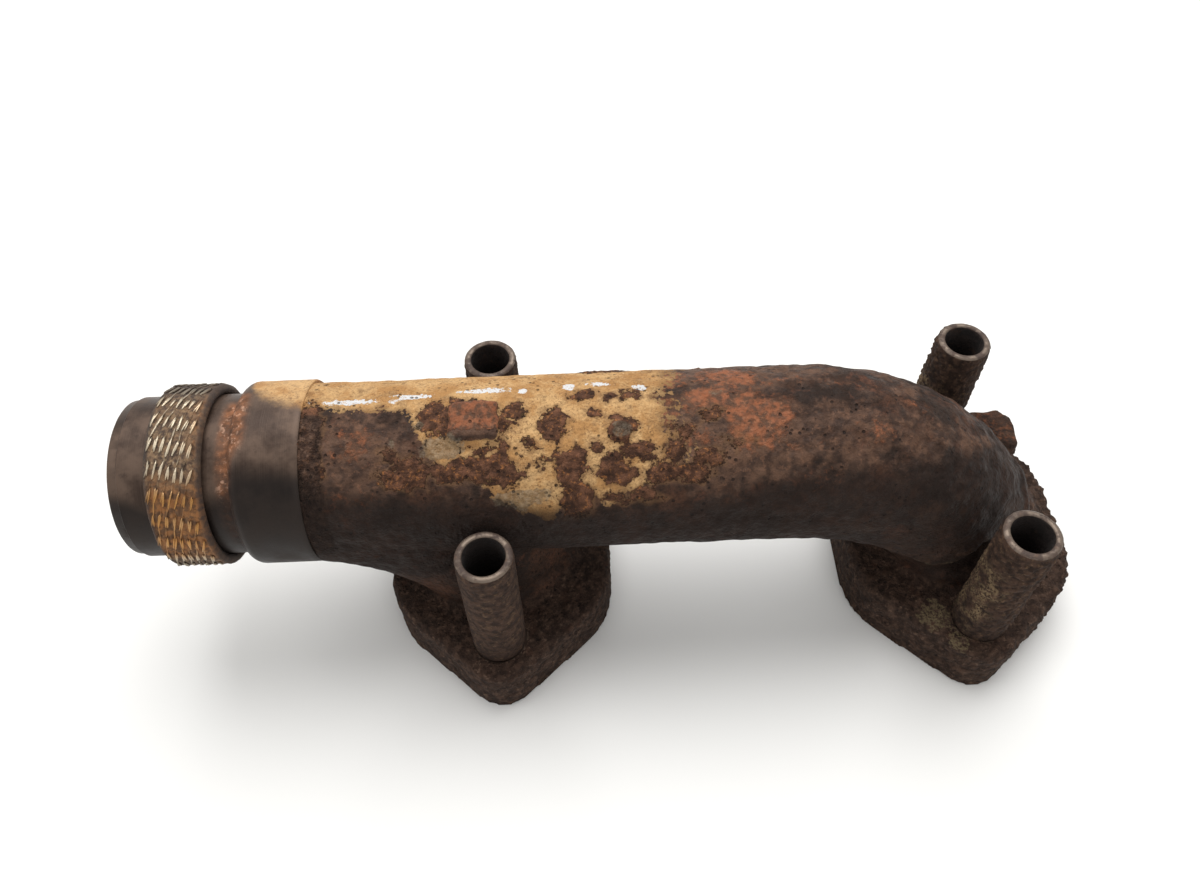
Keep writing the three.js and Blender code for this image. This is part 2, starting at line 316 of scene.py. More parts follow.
def shade(mesh, degrees):
    mesh.polygons.foreach_set("use_smooth", [True] * len(mesh.polygons))
    mesh.set_sharp_from_angle(angle=math.radians(degrees))


# ---- Cast body ----------------------------------------------------------------------------------

def flange_shape(port):
    size = sizes()
    x, side, apex = size.flange_width / 2, size.flange_side / 2, size.flange_apex / 2
    outline = [(x, -side), (x, side), (0, apex), (-x, side), (-x, -side), (0, -apex)]
    shape = prism([(port + a, b) for a, b in outline], "z", 0.0, size.flange_thickness)
    upright = [e for e in shape.edges if abs(e.verts[0].co.z - e.verts[1].co.z) > MM]
    tips = [e for e in upright if abs(e.verts[0].co.y) > apex - MM]
    corners = [e for e in upright if e not in tips]
    for edges, offset in ((corners, 11.6), (tips, 11.06)):
        bmesh.ops.bevel(shape, geom=edges, offset=offset * MM, offset_type="OFFSET",
                        segments=8, profile=0.5, affect="EDGES", material=-1)
        upright = [e for e in shape.edges if abs(e.verts[0].co.z - e.verts[1].co.z) > MM]
    rims = [e for e in shape.edges if min(v.co.z for v in e.verts) > size.flange_thickness - 0.01 * MM]
    bmesh.ops.bevel(shape, geom=rims, offset=2.6 * MM, offset_type="OFFSET", segments=4, profile=0.5,
                    affect="EDGES", material=-1)
    return outward(shape)


def recess():
    """The space that the recessed neck leaves under the front of the elbow."""
    outline = [(66, 44), (79, 46), (88, 43), (100, 36.5), (106, 39), (112, 43), (118, 50), (121, 15),
               (66, 15)]
    return prism([(a * MM, b * MM) for a, b in outline], "y", -60 * MM, -8 * MM)


def skirt(port, shift, reach, height, wide=0.0, tall=0.0):
    """A hollow-curved ring of metal where a branch meets its flange, spread towards +X by wide and tall.

    A tall skirt leans back with the outside of the elbow above it.
    """
    radius, top = sizes().pipe_radius, sizes().flange_thickness
    profile = [(0, top - 4 * MM), (radius + reach, top - 4 * MM)]
    for i in range(9):
        turn = i / 8 * math.pi / 2
        profile.append((radius + reach * (1 - math.sin(turn)), top + height * (1 - math.cos(turn))))
    profile.append((0, top + height))
    shape = spun_upright(profile, port + shift, 0, 72)
    for vert in shape.verts:
        out = Vector((vert.co.x - port - shift, vert.co.y, 0))
        side = max(0.0, out.normalized().x) ** 2 if out.length > 1e-9 else 0.0
        beyond = out.length - radius
        if beyond > 0:
            out *= (radius + beyond * (1 + side * wide / reach)) / out.length
            vert.co.x, vert.co.y = port + shift + out.x, out.y
        if vert.co.z > top:
            vert.co.z = top + (vert.co.z - top) * (1 + side * tall / height)
        if tall:
            outside, rise = sizes().elbow_reach + radius, max(0.0, vert.co.z - 4 * MM)
            vert.co.x -= outside - math.sqrt(outside ** 2 - rise ** 2)
    return shape


def pad_shape():
    size = sizes()
    shape = bmesh.new()
    lean = Matrix.Rotation(math.radians(9), 4, "X")
    place = Matrix.Translation((LEFT_PORT - 1.8 * MM, 0, AXIS)) @ lean @ Matrix.Translation(
        (0, 0, size.pipe_radius - 1.4 * MM))
    bmesh.ops.create_cube(shape, size=1.0,
                          matrix=place @ Matrix.Diagonal((15.2 * MM, 13.2 * MM, 7.2 * MM, 1)))
    bmesh.ops.bevel(shape, geom=list(shape.edges), offset=1.5 * MM, offset_type="OFFSET", segments=3,
                    profile=0.5, affect="EDGES", material=-1)
    return outward(shape)


def nub_shape():
    shape = bmesh.new()
    lean = Matrix.Rotation(math.radians(19.5), 4, "X")
    place = Matrix.Translation((LEFT_PORT + 42 * MM, 0, AXIS)) @ lean @ Matrix.Translation(
        (0, 0, sizes().pipe_radius))
    bmesh.ops.create_uvsphere(shape, u_segments=20, v_segments=12, radius=3.5 * MM,
                              matrix=place @ Matrix.Diagonal((1, 1, 0.62, 1)))
    return outward(shape)


def lug_shape():
    """The flat tongue behind the elbow, growing out of the pipe."""
    end, top, bottom = RIGHT_PORT + 22.6 * MM, 46.4 * MM, 39.6 * MM
    outline = [(end, 15 * MM), (end, 28.5 * MM), (end - 3 * MM, 31.8 * MM), (end - 18 * MM, 31.8 * MM),
               (end - 34 * MM, 19 * MM)]
    shape = prism(outline, "z", bottom, top)
    bmesh.ops.bevel(shape, geom=list(shape.edges), offset=1.2 * MM, offset_type="OFFSET", segments=2,
                    profile=0.5, affect="EDGES", material=-1)
    return outward(shape)


# Rust patches on the pipe: centre along X and turn round the pipe from the front (90 is the top),
# then half their length and half their turn.
SCABS = [
    (-97, 66, 3.5, 34), (-68, 49, 7, 9), (-60, 85, 5, 13), (-49, 82, 11, 14), (-36, 86, 3.5, 8),
    (-46, 52, 12, 9), (-45, 62, 6, 5), (-39, 47, 7, 6), (-57, 50, 5, 6), (-23.5, 77, 4.2, 10),
    (-19, 53, 5.5, 11), (-17.5, 30, 5, 13), (-20, 42, 3, 5), (-3.5, 72, 4.5, 9), (-4.5, 48, 5.5, 11),
    (0, 58, 3.5, 6),
    (-14, 99, 4, 3), (-5, 98, 6, 4), (3, 57, 3, 6), (12, 58, 4, 7), (9, 45, 8, 6), (18, 44, 5, 6),
    (23, 54, 4, 6),
    (-2, 31, 7, 4), (24, 80, 3, 5), (15, 70, 3, 4), (31, 62, 3.5, 4), (-74, 62, 3, 5), (-54, 97, 2, 2.5),
    (-31, 66, 1.6, 2.5), (-12, 84, 1.4, 2.5), (-28, 52, 1.5, 3), (-11, 62, 1.4, 3), (-8, 146, 10, 12),
    (-40, 160, 14, 10), (20, 156, 9, 9),
]


def pipe_place(points):
    """Distance along X and turn round the pipe axis in degrees: 0 front, 90 top, 180 back."""
    turn = np.degrees(np.arctan2(points[:, 2] - AXIS / MM, -points[:, 1]))
    return points[:, 0], np.where(turn < -90, turn + 360, turn)


def scab_field(points):
    """How far inside a rust patch each point lies: 1 in the middle, 0 well outside."""
    x, turn = pipe_place(points)
    ragged = 0.34 * rough(points, 5.0, 1) + 0.34 * rough(points, 2.4, 2)
    field = blotches(x, turn, [patch + (1,) for patch in SCABS], 6.0)
    return np.clip(np.minimum(field, 0.95) + ragged * (field > 0), 0, 1.2)


def rim_of(points, normals, port, reach):
    """Flange rims: upright skin below the top of a flange."""
    near = np.abs(points[:, 0] - port / MM) < reach
    return near * step(np.hypot(normals[:, 0], normals[:, 1]), 0.5, 0.9) * (points[:, 2] < 21)


def roughen_cast_skin(mesh):
    """Moves the skin of the casting: grain, lumps, rust patches, pits and scale."""
    points, normals = places(mesh), directions(mesh)
    x, turn = pipe_place(points)
    bare = step(points[:, 2], 0.4, 2.0)
    crumb = crumbs(points, 2.7, 1)
    lift = 0.3 * rough(points, 24, 3) + 0.22 * rough(points, 9, 4) + 0.28 * rough(points, 3.4, 5)
    lift += 0.09 * rough(points, 2.2, 6)
    scab = scab_field(points)
    on_pipe = np.hypot(points[:, 1], points[:, 2] - AXIS / MM) < 31.5
    patch = step(scab, 0.45, 0.75) * on_pipe
    lift += patch * (0.1 + 0.6 * crumb)
    elbow = step(x, 25, 60)
    lift += elbow * (0.6 * rough(points, 7.5, 8) + 0.34 * rough(points, 3.6, 14))
    collar_crust = step(-x, 92, 97) * step(turn, -25, 10) * step(-turn, -125, -100)
    lift += collar_crust * (0.1 + 0.6 * crumb)
    rims = rim_of(points, normals, RIGHT_PORT, 45) + rim_of(points, normals, LEFT_PORT, 45)
    lift += rims * (0.55 * crumb + 0.35 * rough(points, 6, 11) - 0.55)
    scale = step(x, 128, 142) * (points[:, 2] < 42)
    lift += scale * (0.8 * crumb + 0.1)
    tops = (points[:, 2] > 18) * (points[:, 2] < 27) * step(normals[:, 2], 0.3, 0.8)
    lift += tops * (0.55 * crumb + 0.25 * rough(points, 4.5, 13) - 0.25)
    store(mesh, "hollow", 1 - crumb)
    draw = random.Random(11)
    spots = [i for i in range(0, len(points), 7) if x[i] > 30 and points[i, 2] > 30]
    pits = [(points[draw.choice(spots)], draw.uniform(1.1, 2.8),
             draw.uniform(0.2, 0.6)) for _ in range(150)]
    reach = sizes().pipe_radius / MM
    for along, angle, size, depth in ((59, 36, 4.5, 0.5), (72, 60, 4.0, 0.4), (66, 30, 3.5, 0.35)):
        a = math.radians(angle)
        pits.append((np.array((along, -reach * math.cos(a), AXIS / MM + reach * math.sin(a))), size, depth))
    for i in range(9):
        a = math.radians(9 + 1.5 * math.sin(i * 2.1))
        pits.append((np.array((21 + 4.3 * i, -reach * math.cos(a), AXIS / MM + reach * math.sin(a))), 1.5,
                     0.7))
    for centre, radius, depth in pits:
        lift -= depth * np.exp(-((points - centre) ** 2).sum(axis=1) / radius ** 2)
    # Skin above the flanges is held back within SLEEVE_ROOM of a sleeve.
    for node, (low, high) in SLEEVES.items():
        centre = middle(node) / MM
        away = np.hypot(points[:, 0] - centre.x, points[:, 1] - centre.y) - (high.x - low.x) / 2 / MM
        lift = np.where(points[:, 2] > SLEEVE_ROOM_FLOOR, np.minimum(lift, 0.6 * (away - SLEEVE_ROOM)),
                        lift)
    move_vertices(mesh, normals * (np.clip(lift, -1.2, 1.2) * bare)[:, None])


def cast_body():
    """The as-cast skin: pipe, branches, flanges and cast-on details grown into one rough solid."""
    size = sizes()
    elbow = to_object("elbow", swept(size.pipe_radius, bend(RIGHT_PORT, size.elbow_reach, 3 * MM), 72))
    combine(elbow, recess(), "DIFFERENCE")
    whole = bmesh.new()
    whole.from_mesh(elbow.data)
    bpy.data.objects.remove(elbow)
    pipe_end = RIGHT_PORT - size.elbow_reach + 1 * MM
    parts = [
        spun_about_pipe([(0, -106 * MM), (size.pipe_radius, -106 * MM), (size.pipe_radius, pipe_end),
                         (0, pipe_end)], 96),
        swept(size.pipe_radius, bend(LEFT_PORT, size.merge_reach, 3 * MM), 72),
        swept(size.neck_radius, bend(RIGHT_PORT, size.elbow_reach, 3 * MM), 72),
        flange_shape(LEFT_PORT), flange_shape(RIGHT_PORT),
        skirt(LEFT_PORT, -1 * MM, 4.5 * MM, 5 * MM),
        skirt(RIGHT_PORT, 1.5 * MM, 3.5 * MM, 6 * MM, 5.5 * MM, 22 * MM),
        pad_shape(), nub_shape(), lug_shape(),
    ]
    for part in parts:
        join_into(whole, part)
    body = to_object("cast_body", whole)
    settle(body, "REMESH", mode="VOXEL", voxel_size=size.voxel)
    settle(body, "SMOOTH", factor=0.5, iterations=2)
    roughen_cast_skin(body.data)
    return body


def collar_shape():
    """Spigot, collar and their turned shoulders, as one closed turned piece."""
    size = sizes()
    near = -100.1 * MM
    shoulder = near - size.collar_length
    spigot, collar = size.spigot_radius, size.collar_radius
    profile = [(0, SPIGOT_END), (spigot - 1.3 * MM, SPIGOT_END),
               (spigot - 0.9 * MM, SPIGOT_END + 0.35 * MM),
               (spigot - 0.75 * MM, SPIGOT_END + 2.8 * MM), (spigot, SPIGOT_END + 3.4 * MM)]
    profile += [(spigot, SPIGOT_END + 3.4 * MM + i * 2.15 * MM) for i in range(1, 16)]
    profile += [(spigot, shoulder - 0.4 * MM), (spigot + 0.3 * MM, shoulder)]
    for i in range(7):
        turn = i / 6 * math.pi / 2
        profile.append((collar - 3.5 * MM + 3.5 * MM * math.sin(turn),
                        shoulder + 3.5 * MM * (1 - math.cos(turn))))
    profile += [(collar, shoulder + 3.5 * MM + i * 2 * MM) for i in range(1, 9)]
    profile += [(collar, near - 0.5 * MM), (collar - 0.35 * MM, near), (0, near)]
    shape = spun_about_pipe(profile, 144)
    for vert in shape.verts:
        out = Vector((0, vert.co.y, vert.co.z - AXIS))
        if out.length > spigot - 2 * MM:
            vert.co += out.normalized() * (noise.noise(vert.co / (4 * MM)) - 0.4) * 0.05 * MM
    return shape


def cut_openings(body):
    """Cuts the gas passage, the bolt holes and the spot faces under the sleeves."""
    size = sizes()
    past = 3 * MM
    pipe_end = RIGHT_PORT - size.elbow_reach + 1 * MM
    inner, gas = size.spigot_bore, size.gas_radius
    run = [(0, SPIGOT_END - past), (inner + 0.6 * MM, SPIGOT_END - past), (inner + 0.6 * MM, SPIGOT_END),
           (inner, SPIGOT_END + 0.6 * MM), (inner, -121.6 * MM), (gas, -119 * MM), (gas, pipe_end),
           (0, pipe_end)]
    combine(body, spun_about_pipe(run, 72), "DIFFERENCE")
    for port, reach in ((LEFT_PORT, size.merge_reach), (RIGHT_PORT, size.elbow_reach)):
        combine(body, swept(gas, bend(port, reach, -past), 60), "DIFFERENCE")
    for low, high in SLEEVES.values():
        x, y = (low.x + high.x) / 2, (low.y + high.y) / 2
        seat = (high.x - low.x) / 2 + 0.35 * MM
        floor = SEAT
        top = high.z + past
        profile = [(0, -past), (size.bolt_hole, -past), (size.bolt_hole, floor), (seat, floor), (seat, top),
                   (0, top)]
        combine(body, spun_upright(profile, x, y, 56), "DIFFERENCE")


# Fields painted on the pipe, laid out as the rust patches are, with a weight at the end.
ORANGE = [
    (38, 77, 11, 20, 1), (30, 114, 11, 12, 1), (8, 112, 12, 13, 1), (7, 83, 9, 16, 0.9),
    (22, 92, 9, 14, 0.9),
    (-2, 90, 6, 9, 0.6), (46, 108, 9, 8, 0.7), (18, 66, 10, 8, 0.7), (59, 36, 5.5, 7, 0.7),
    (76, 66, 7, 9, 0.65), (66, 104, 10, 6, 0.55), (-84, 70, 9, 13, 0.6), (-86, 34, 12, 7, 0.65),
    (-69, 47, 5, 5, 1), (88, 92, 9, 10, 0.5), (50, 58, 6, 5, 0.6), (20, 150, 16, 14, 0.9),
    (-70, 175, 20, 14, 0.7),
]
BROWN = [
    (-83, 60, 15, 34, 1), (-50, 62, 16, 28, 0.9), (6, 66, 16, 30, 1), (24, 66, 20, 36, 1),
    (44, 62, 18, 30, 0.8),
    (66, 60, 20, 30, 0.7), (88, 66, 16, 30, 0.6), (-20, 30, 20, 12, 0.7), (30, 120, 40, 26, 0.9),
    (-30, 170, 60, 20, 0.8),
]
GREY = [
    (-57, 65, 8, 8, 1), (-73, 69, 2, 3.5, 1), (-35, 31, 9, 9, 0.85), (-3.5, 72, 3.4, 6, 1),
    (26, 97, 3, 4, 0.9),
    (44, 90, 3, 3, 0.9), (-28, 34, 5, 6, 0.8), (-64, 80, 3, 6, 0.7), (1, 140, 6, 8, 0.8),
]
PAINT = [
    (-87, 100, 10, 2.2, 1), (-66, 104, 6, 2.4, 0.95), (-45, 107, 7, 2.4, 1), (-33, 105, 2, 3.4, 0.85),
    (-19, 108, 2, 3.6, 0.9), (-9, 110, 5, 2.4, 0.9), (3, 105, 3, 3.0, 0.8),
]


def blotches(x, turn, marks, soft):
    """The strongest of several marks at each point: half on a mark's edge, fading over soft millimetres."""
    field = np.zeros(len(x))
    for centre, angle, half, spread, weight in marks:
        away = np.hypot((x - centre) / half, (turn - angle) / spread)
        inside = (1 - away) * min(half, 0.49 * spread)
        field = np.maximum(field, weight * np.clip(0.5 + inside / soft, 0, 1))
    return field


def paint_casting(mesh):
    """Stores where the dust coat, rust, soot and painted shade, grit, a painted highlight along the elbow
    ledge and paint lie, as soft fields for the materials.
    """
    points, normals = places(mesh), directions(mesh)
    x, turn = pipe_place(points)
    broad, middling = rough(points, 9, 21), rough(points, 3.8, 22)
    turned = x < -100.2

    edge = np.interp(x, [-100, -97, -68, -62, -57, -46, -38, -32, -26, -21, -14, -8, -3, 3, 12, 25, 36],
                     [93, 93, 91, 62, 52, 40, 27, 22, 15, 28, 34, 24, 34, 36, 40, 62, 92])
    coat = step(turn, edge - 11, edge + 11) * step(-x, -31, 3) * step(-turn, -172, -140)
    height = np.hypot(points[:, 1], points[:, 2] - AXIS / MM)
    pad = step(height, 29.4, 30.2) * (np.abs(x - LEFT_PORT / MM + 1.8) < 9.5) * (turn > 60) * (turn < 112)
    coat = (coat + (0.24 * broad + 0.26 * middling) * (coat > 0.02)) * (1 - pad)
    line = np.interp(x, [-121, -116, -108, -100], [128, 112, 100, 96])
    coat = np.where(turned,
                    step(turn, line - 14, line + 14) * step(x, -122, -117) * step(-turn, -160, -130), coat)
    store(mesh, "coat", np.clip(coat, 0, 1.2))

    orange = blotches(x, turn, ORANGE, 9.0) + 0.25 * broad * step(x, -20, 10) * step(-x, -70,
                                                                                     -45) + 0.12 * middling
    stain = step(turn, -22, 14) * step(-turn, -125, -100) * np.exp(-((x + 122.6) / 2.8) ** 2)
    stain += 0.8 * step(turn, 60, 78) * step(-turn, -118, -104) * np.exp(-((x + 118.8) / 2.8) ** 2)
    lug = (x > 126) * (points[:, 1] > 17) * (np.abs(points[:, 2] - 43) < 5)
    orange = np.maximum(orange, lug * (0.5 + 0.2 * middling))

    orange = np.maximum(orange, 0.85 * pad * step(turn, 70, 76))
    brown = np.maximum(blotches(x, turn, BROWN, 14.0), step(x, 50, 75) * (0.36 + 0.55 * broad))
    band = step(x, 88, 91) * step(-x, -98, -95) * step(points[:, 2], 22, 26) * step(-points[:, 1], 12, 18)
    brown = np.maximum(brown, 0.9 * band * step(-points[:, 2], -42, -38))
    store(mesh, "brown", np.where(turned, 0, np.clip(brown + 0.2 * broad + 0.2 * middling, 0, 1)))
    scab = scab_field(points) * (height < 32.5) * (1 - pad)
    store(mesh, "orange", np.clip(np.where(turned, stain, orange), 0, 1.2))
    store(mesh, "scab", np.where(turned, 0, scab))
    store(mesh, "grey", np.where(turned, 0, 0.85 * blotches(x, turn, GREY, 5.0) + 0.15 * middling))
    store(mesh, "paint", np.where(turned, 0, blotches(x, turn, PAINT, 3.0) + 0.25 * middling))

    # Painted shade, stored with the soot: the pipe darkens below this turn round the front and along the
    # back underside, and the low parts under the pipe (flanges and branches) get an even share.
    low = np.interp(x, [-160, -146, -128, -122, -121, -100, -96, -57, -21, 27, 50, 62],
                    [44, 34, 36, 42, 56, 54, 46, 34, 22, 26, 40, 44])
    soot_and_shade = step(low - turn, -16, 16) + 0.8 * step(turn, 150, 200)
    foot = step(-points[:, 2], -52, -36)
    soot_and_shade = np.maximum(soot_and_shade * (1 - foot), foot * 0.32) + 0.25 * broad
    # Painted shade: faces that point down are darkened.
    soot_and_shade += 0.5 * step(-normals[:, 2], 0.2, 0.8)
    # Painted shade: the recessed neck under the front of the elbow is darkened.
    neck = step(x, 70, 78) * step(-points[:, 2], -47, -40) * step(points[:, 2], 22,
                                                                  26) * step(-points[:, 1], 8, 14)
    # Painted shade on the neck (above) and on the front sides of the raised pad.
    soot_and_shade += 0.4 * neck + 0.7 * pad * step(-normals[:, 1], 0.5, 0.8)
    elbow = step(x, 45, 62) * step(points[:, 2], 40, 50)
    soot_and_shade = np.where(elbow > 0.5, soot_and_shade * 0.75 + 0.1, soot_and_shade)
    store(mesh, "soot_and_shade", np.clip(soot_and_shade, 0, 1))

    slope = step(x, 130, 142) * step(-points[:, 2], -44, -36)
    crust = step(-x, 91, 96) * step(turn, -30, 5) * step(-turn, -93, -86) * (x > -100.2)
    rims = rim_of(points, normals, RIGHT_PORT, 45) + rim_of(points, normals, LEFT_PORT, 45)
    tops = step(-points[:, 2], -28, -22) * step(normals[:, 2], -0.1, 0.3)
    store(mesh, "crust",
          np.clip(crust + np.maximum(np.maximum(rims, slope), 0.8 * tops) * (0.85 + 0.4 * middling), 0, 1))

    grit = np.zeros(len(points))
    for gx, gy, size in ((104, -38, 6), (110, -47, 5), (-33, 22, 6), (133, -20, 5)):
        away = np.hypot(points[:, 0] - gx, points[:, 1] - gy) / size
        grit = np.maximum(grit, np.clip(1.4 - away, 0, 1))
    grit *= step(points[:, 2], 17, 21) * step(-points[:, 2], -30, -24)
    # Pale grit along the ledge under the elbow, also a painted highlight on the ledge edge.
    ledge = np.interp(x, [76, 88, 100, 106, 112, 118], [45, 42.5, 36.5, 39, 43, 50])
    ledge_grit_and_highlight = (x > 76) * (x < 118) * (points[:, 1] < -14) * np.exp(-((points[:, 2] - ledge - 0.8) / 1.4) ** 2)
    grit = np.maximum(grit, 0.8 * ledge_grit_and_highlight)
    store(mesh, "grit", np.clip(grit + 0.2 * middling, 0, 1))
    store(mesh, "across", np.where(np.abs(normals[:, 0]) > 0.7, height, x))


def sort_casting_faces(mesh):
    """Gives each face its finish: 0 cast skin, 1 turned, 2 gas passage, 3 gasket face."""
    count = len(mesh.polygons)
    centre, normal = np.empty(count * 3), np.empty(count * 3)
    mesh.polygons.foreach_get("center", centre)
    mesh.polygons.foreach_get("normal", normal)
    centre, normal = centre.reshape(-1, 3) / MM, normal.reshape(-1, 3)
    size = sizes()
    line = [(x, AXIS / MM) for x in np.linspace(SPIGOT_END / MM, (RIGHT_PORT - size.elbow_reach) / MM, 140)]
    for port, reach in ((LEFT_PORT, size.merge_reach), (RIGHT_PORT, size.elbow_reach)):
        line += [(x / MM, z / MM) for x, z, _ in bend(port, reach, 0.0, 60)]
        line += [(port / MM, z) for z in np.linspace(0, 5, 6)]
    away = np.full(count, 1e9)
    for x, z in line:
        away = np.minimum(away, (centre[:, 0] - x) ** 2 + (centre[:, 2] - z) ** 2)
    away = np.sqrt(away + centre[:, 1] ** 2)
    finish = np.zeros(count, dtype=np.int32)
    finish[(centre[:, 0] < -100.0)] = 1
    for low, high in SLEEVES.values():
        x, y = (low.x + high.x) / 2 / MM, (low.y + high.y) / 2 / MM
        finish[np.hypot(centre[:, 0] - x, centre[:, 1] - y) < 9.5] = 1
    finish[away < 23.4] = 2
    finish[(centre[:, 2] < 0.25) & (normal[:, 2] < -0.9)] = 3
    mesh.polygons.foreach_set("material_index", finish)


# ---- Packing ring -------------------------------------------------------------------------------

def ring_core():
    """The pressed body of the ring, with a shallow groove between its columns of wire."""
    low, high = RING_LOW.x, RING_HIGH.x
    inner = sizes().spigot_radius + 0.35 * MM
    outer = (RING_HIGH.z - RING_LOW.z) / 2 - 0.55 * MM
    columns = sizes().ring_columns
    profile = [(inner, low + 0.5 * MM), (inner + 1.2 * MM, low), (outer - 1.3 * MM, low),
               (outer - 0.4 * MM, low + 0.5 * MM)]
    across = 48
    for i in range(across + 1):
        place = i / across
        groove = 0.16 * MM * (1 - math.cos(place * columns * math.tau))
        profile.append((outer - groove, low + 1.1 * MM + place * (high - low - 2.2 * MM)))
    profile += [(outer - 0.4 * MM, high - 0.5 * MM), (outer - 1.3 * MM, high), (inner + 1.2 * MM, high),
                (inner, high - 0.5 * MM)]
    obj = to_object("packing_ring_wire", spun_about_pipe(profile, 168))
    points = places(obj.data)
    x, _ = pipe_place(points)
    spread = np.hypot(points[:, 1], points[:, 2] - AXIS / MM)
    outward_way = np.column_stack([np.zeros(len(points)), points[:, 1] / spread,
                                   (points[:, 2] - AXIS / MM) / spread])
    outside = step(spread, 26.8, 28.4)
    lift = outside * (0.16 * rough(points, 1.6, 31) + 0.14 * rough(points, 5, 32))
    ends = np.maximum(step(low / MM + 1.6 - x, 0, 1.6), step(x - high / MM + 1.6, 0, 1.6)) * step(spread,
                                                                                                  27.6,
                                                                                                  28.7)
    lips = ends * (0.45 * rough(points, 2.2, 33) + 0.05)
    side = np.where(x < (low + high) / 2 / MM, -1.0, 1.0)
    offsets = outward_way * (lift + lips)[:, None]
    offsets[:, 0] += side * ends * 0.35 * rough(points, 1.8, 34) - side * ends * 0.2
    move_vertices(obj.data, offsets)
    return obj


def wire_crowns():
    """Short worn lengths of wire standing proud of the ring, with lower loops between them."""
    whole = bmesh.new()
    low, high = RING_LOW.x + 1.7 * MM, RING_HIGH.x - 2.9 * MM
    outer = (RING_HIGH.z - RING_LOW.z) / 2
    columns, rows = sizes().ring_columns, sizes().ring_rows
    pitch = (high - low) / (columns - 1)
    draw = random.Random(5)
    for row in range(rows):
        for column in range(columns):
            for strand in (0, 1, 2):
                between = strand == 2
                if between and column == columns - 1:
                    continue
                turn = (row + 0.5 * between + 0.06 * column) / rows * math.tau + draw.uniform(-0.02, 0.02)
                x = low + (column + 0.5 * between) * pitch + (0.33 * (strand - 0.5) * (not between)
                                                              + draw.uniform(-0.14, 0.14)) * MM
                long = (5.6 if not between else 6.4) * draw.uniform(0.75, 1.15) * MM
                wide = 0.72 * draw.uniform(0.8, 1.2) * MM
                top = outer - (0.03 if not between else 0.26) * MM - draw.uniform(0, 0.24) * MM
                lean = math.radians(-13 + draw.uniform(-9, 9))
                place = (Matrix.Translation((0, 0, AXIS)) @ Matrix.Rotation(turn, 4, "X")
                         @ Matrix.Translation((x, 0, top - 0.45 * MM)) @ Matrix.Rotation(lean, 4, "Z")
                         @ Matrix.Diagonal((wide / 2, long / 2, 0.45 * MM, 1)))
                made = bmesh.ops.create_uvsphere(whole, u_segments=7, v_segments=5, radius=1.0,
                                                 matrix=place)
                for vert in made["verts"]:
                    across = math.hypot(vert.co.y, vert.co.z - AXIS)
                    limit = top - 0.07 * MM
                    if across > limit:
                        vert.co.yz = (vert.co.y * limit / across,
                                      AXIS + (vert.co.z - AXIS) * limit / across)
    return outward(whole)


def paint_ring(mesh):
    """Stores how worn and how stained each point of the ring is, and where it is darker: at the bottom, on
    a band behind the top and at both ends.
    """
    points = places(mesh)
    x, turn = pipe_place(points)
    spread = np.hypot(points[:, 1], points[:, 2] - AXIS / MM)
    outer = (RING_HIGH.z - RING_LOW.z) / 2 / MM
    store(mesh, "crown", step(spread, outer - 0.62, outer - 0.16))
    gold = step(-turn, -64, -34) * step(turn, -16, 6) + 0.35 * step(x, RING_HIGH.x / MM - 5,
                                                                    RING_HIGH.x / MM - 1)
    store(mesh, "gold", np.clip(gold + 0.3 * rough(points, 7, 41), 0, 1))
    dark = step(turn, 98, 122) * 0.9 + step(-turn, 2, 34) * 0.7
    ends = np.maximum(RING_LOW.x / MM + 1.5 - x, x - RING_HIGH.x / MM + 1.2)
    store(mesh, "dark", np.clip(dark + step(ends, -0.6, 0.6) * 0.9 + 0.2 * rough(points, 6, 42), 0, 1))


# ---- Spacer sleeves -----------------------------------------------------------------------------

# How thick the scale stands on each sleeve, how coarse it is, and how much pale grit lies on its left side.
SCALE = {
    "spacer_sleeve_front_left": (0.2, 1.7, 0.15),
    "spacer_sleeve_front_right": (0.7, 1.9, 1.0),
    "spacer_sleeve_rear_left": (0.3, 1.8, 0.2),
    "spacer_sleeve_rear_right": (0.9, 1.8, 0.8),
}


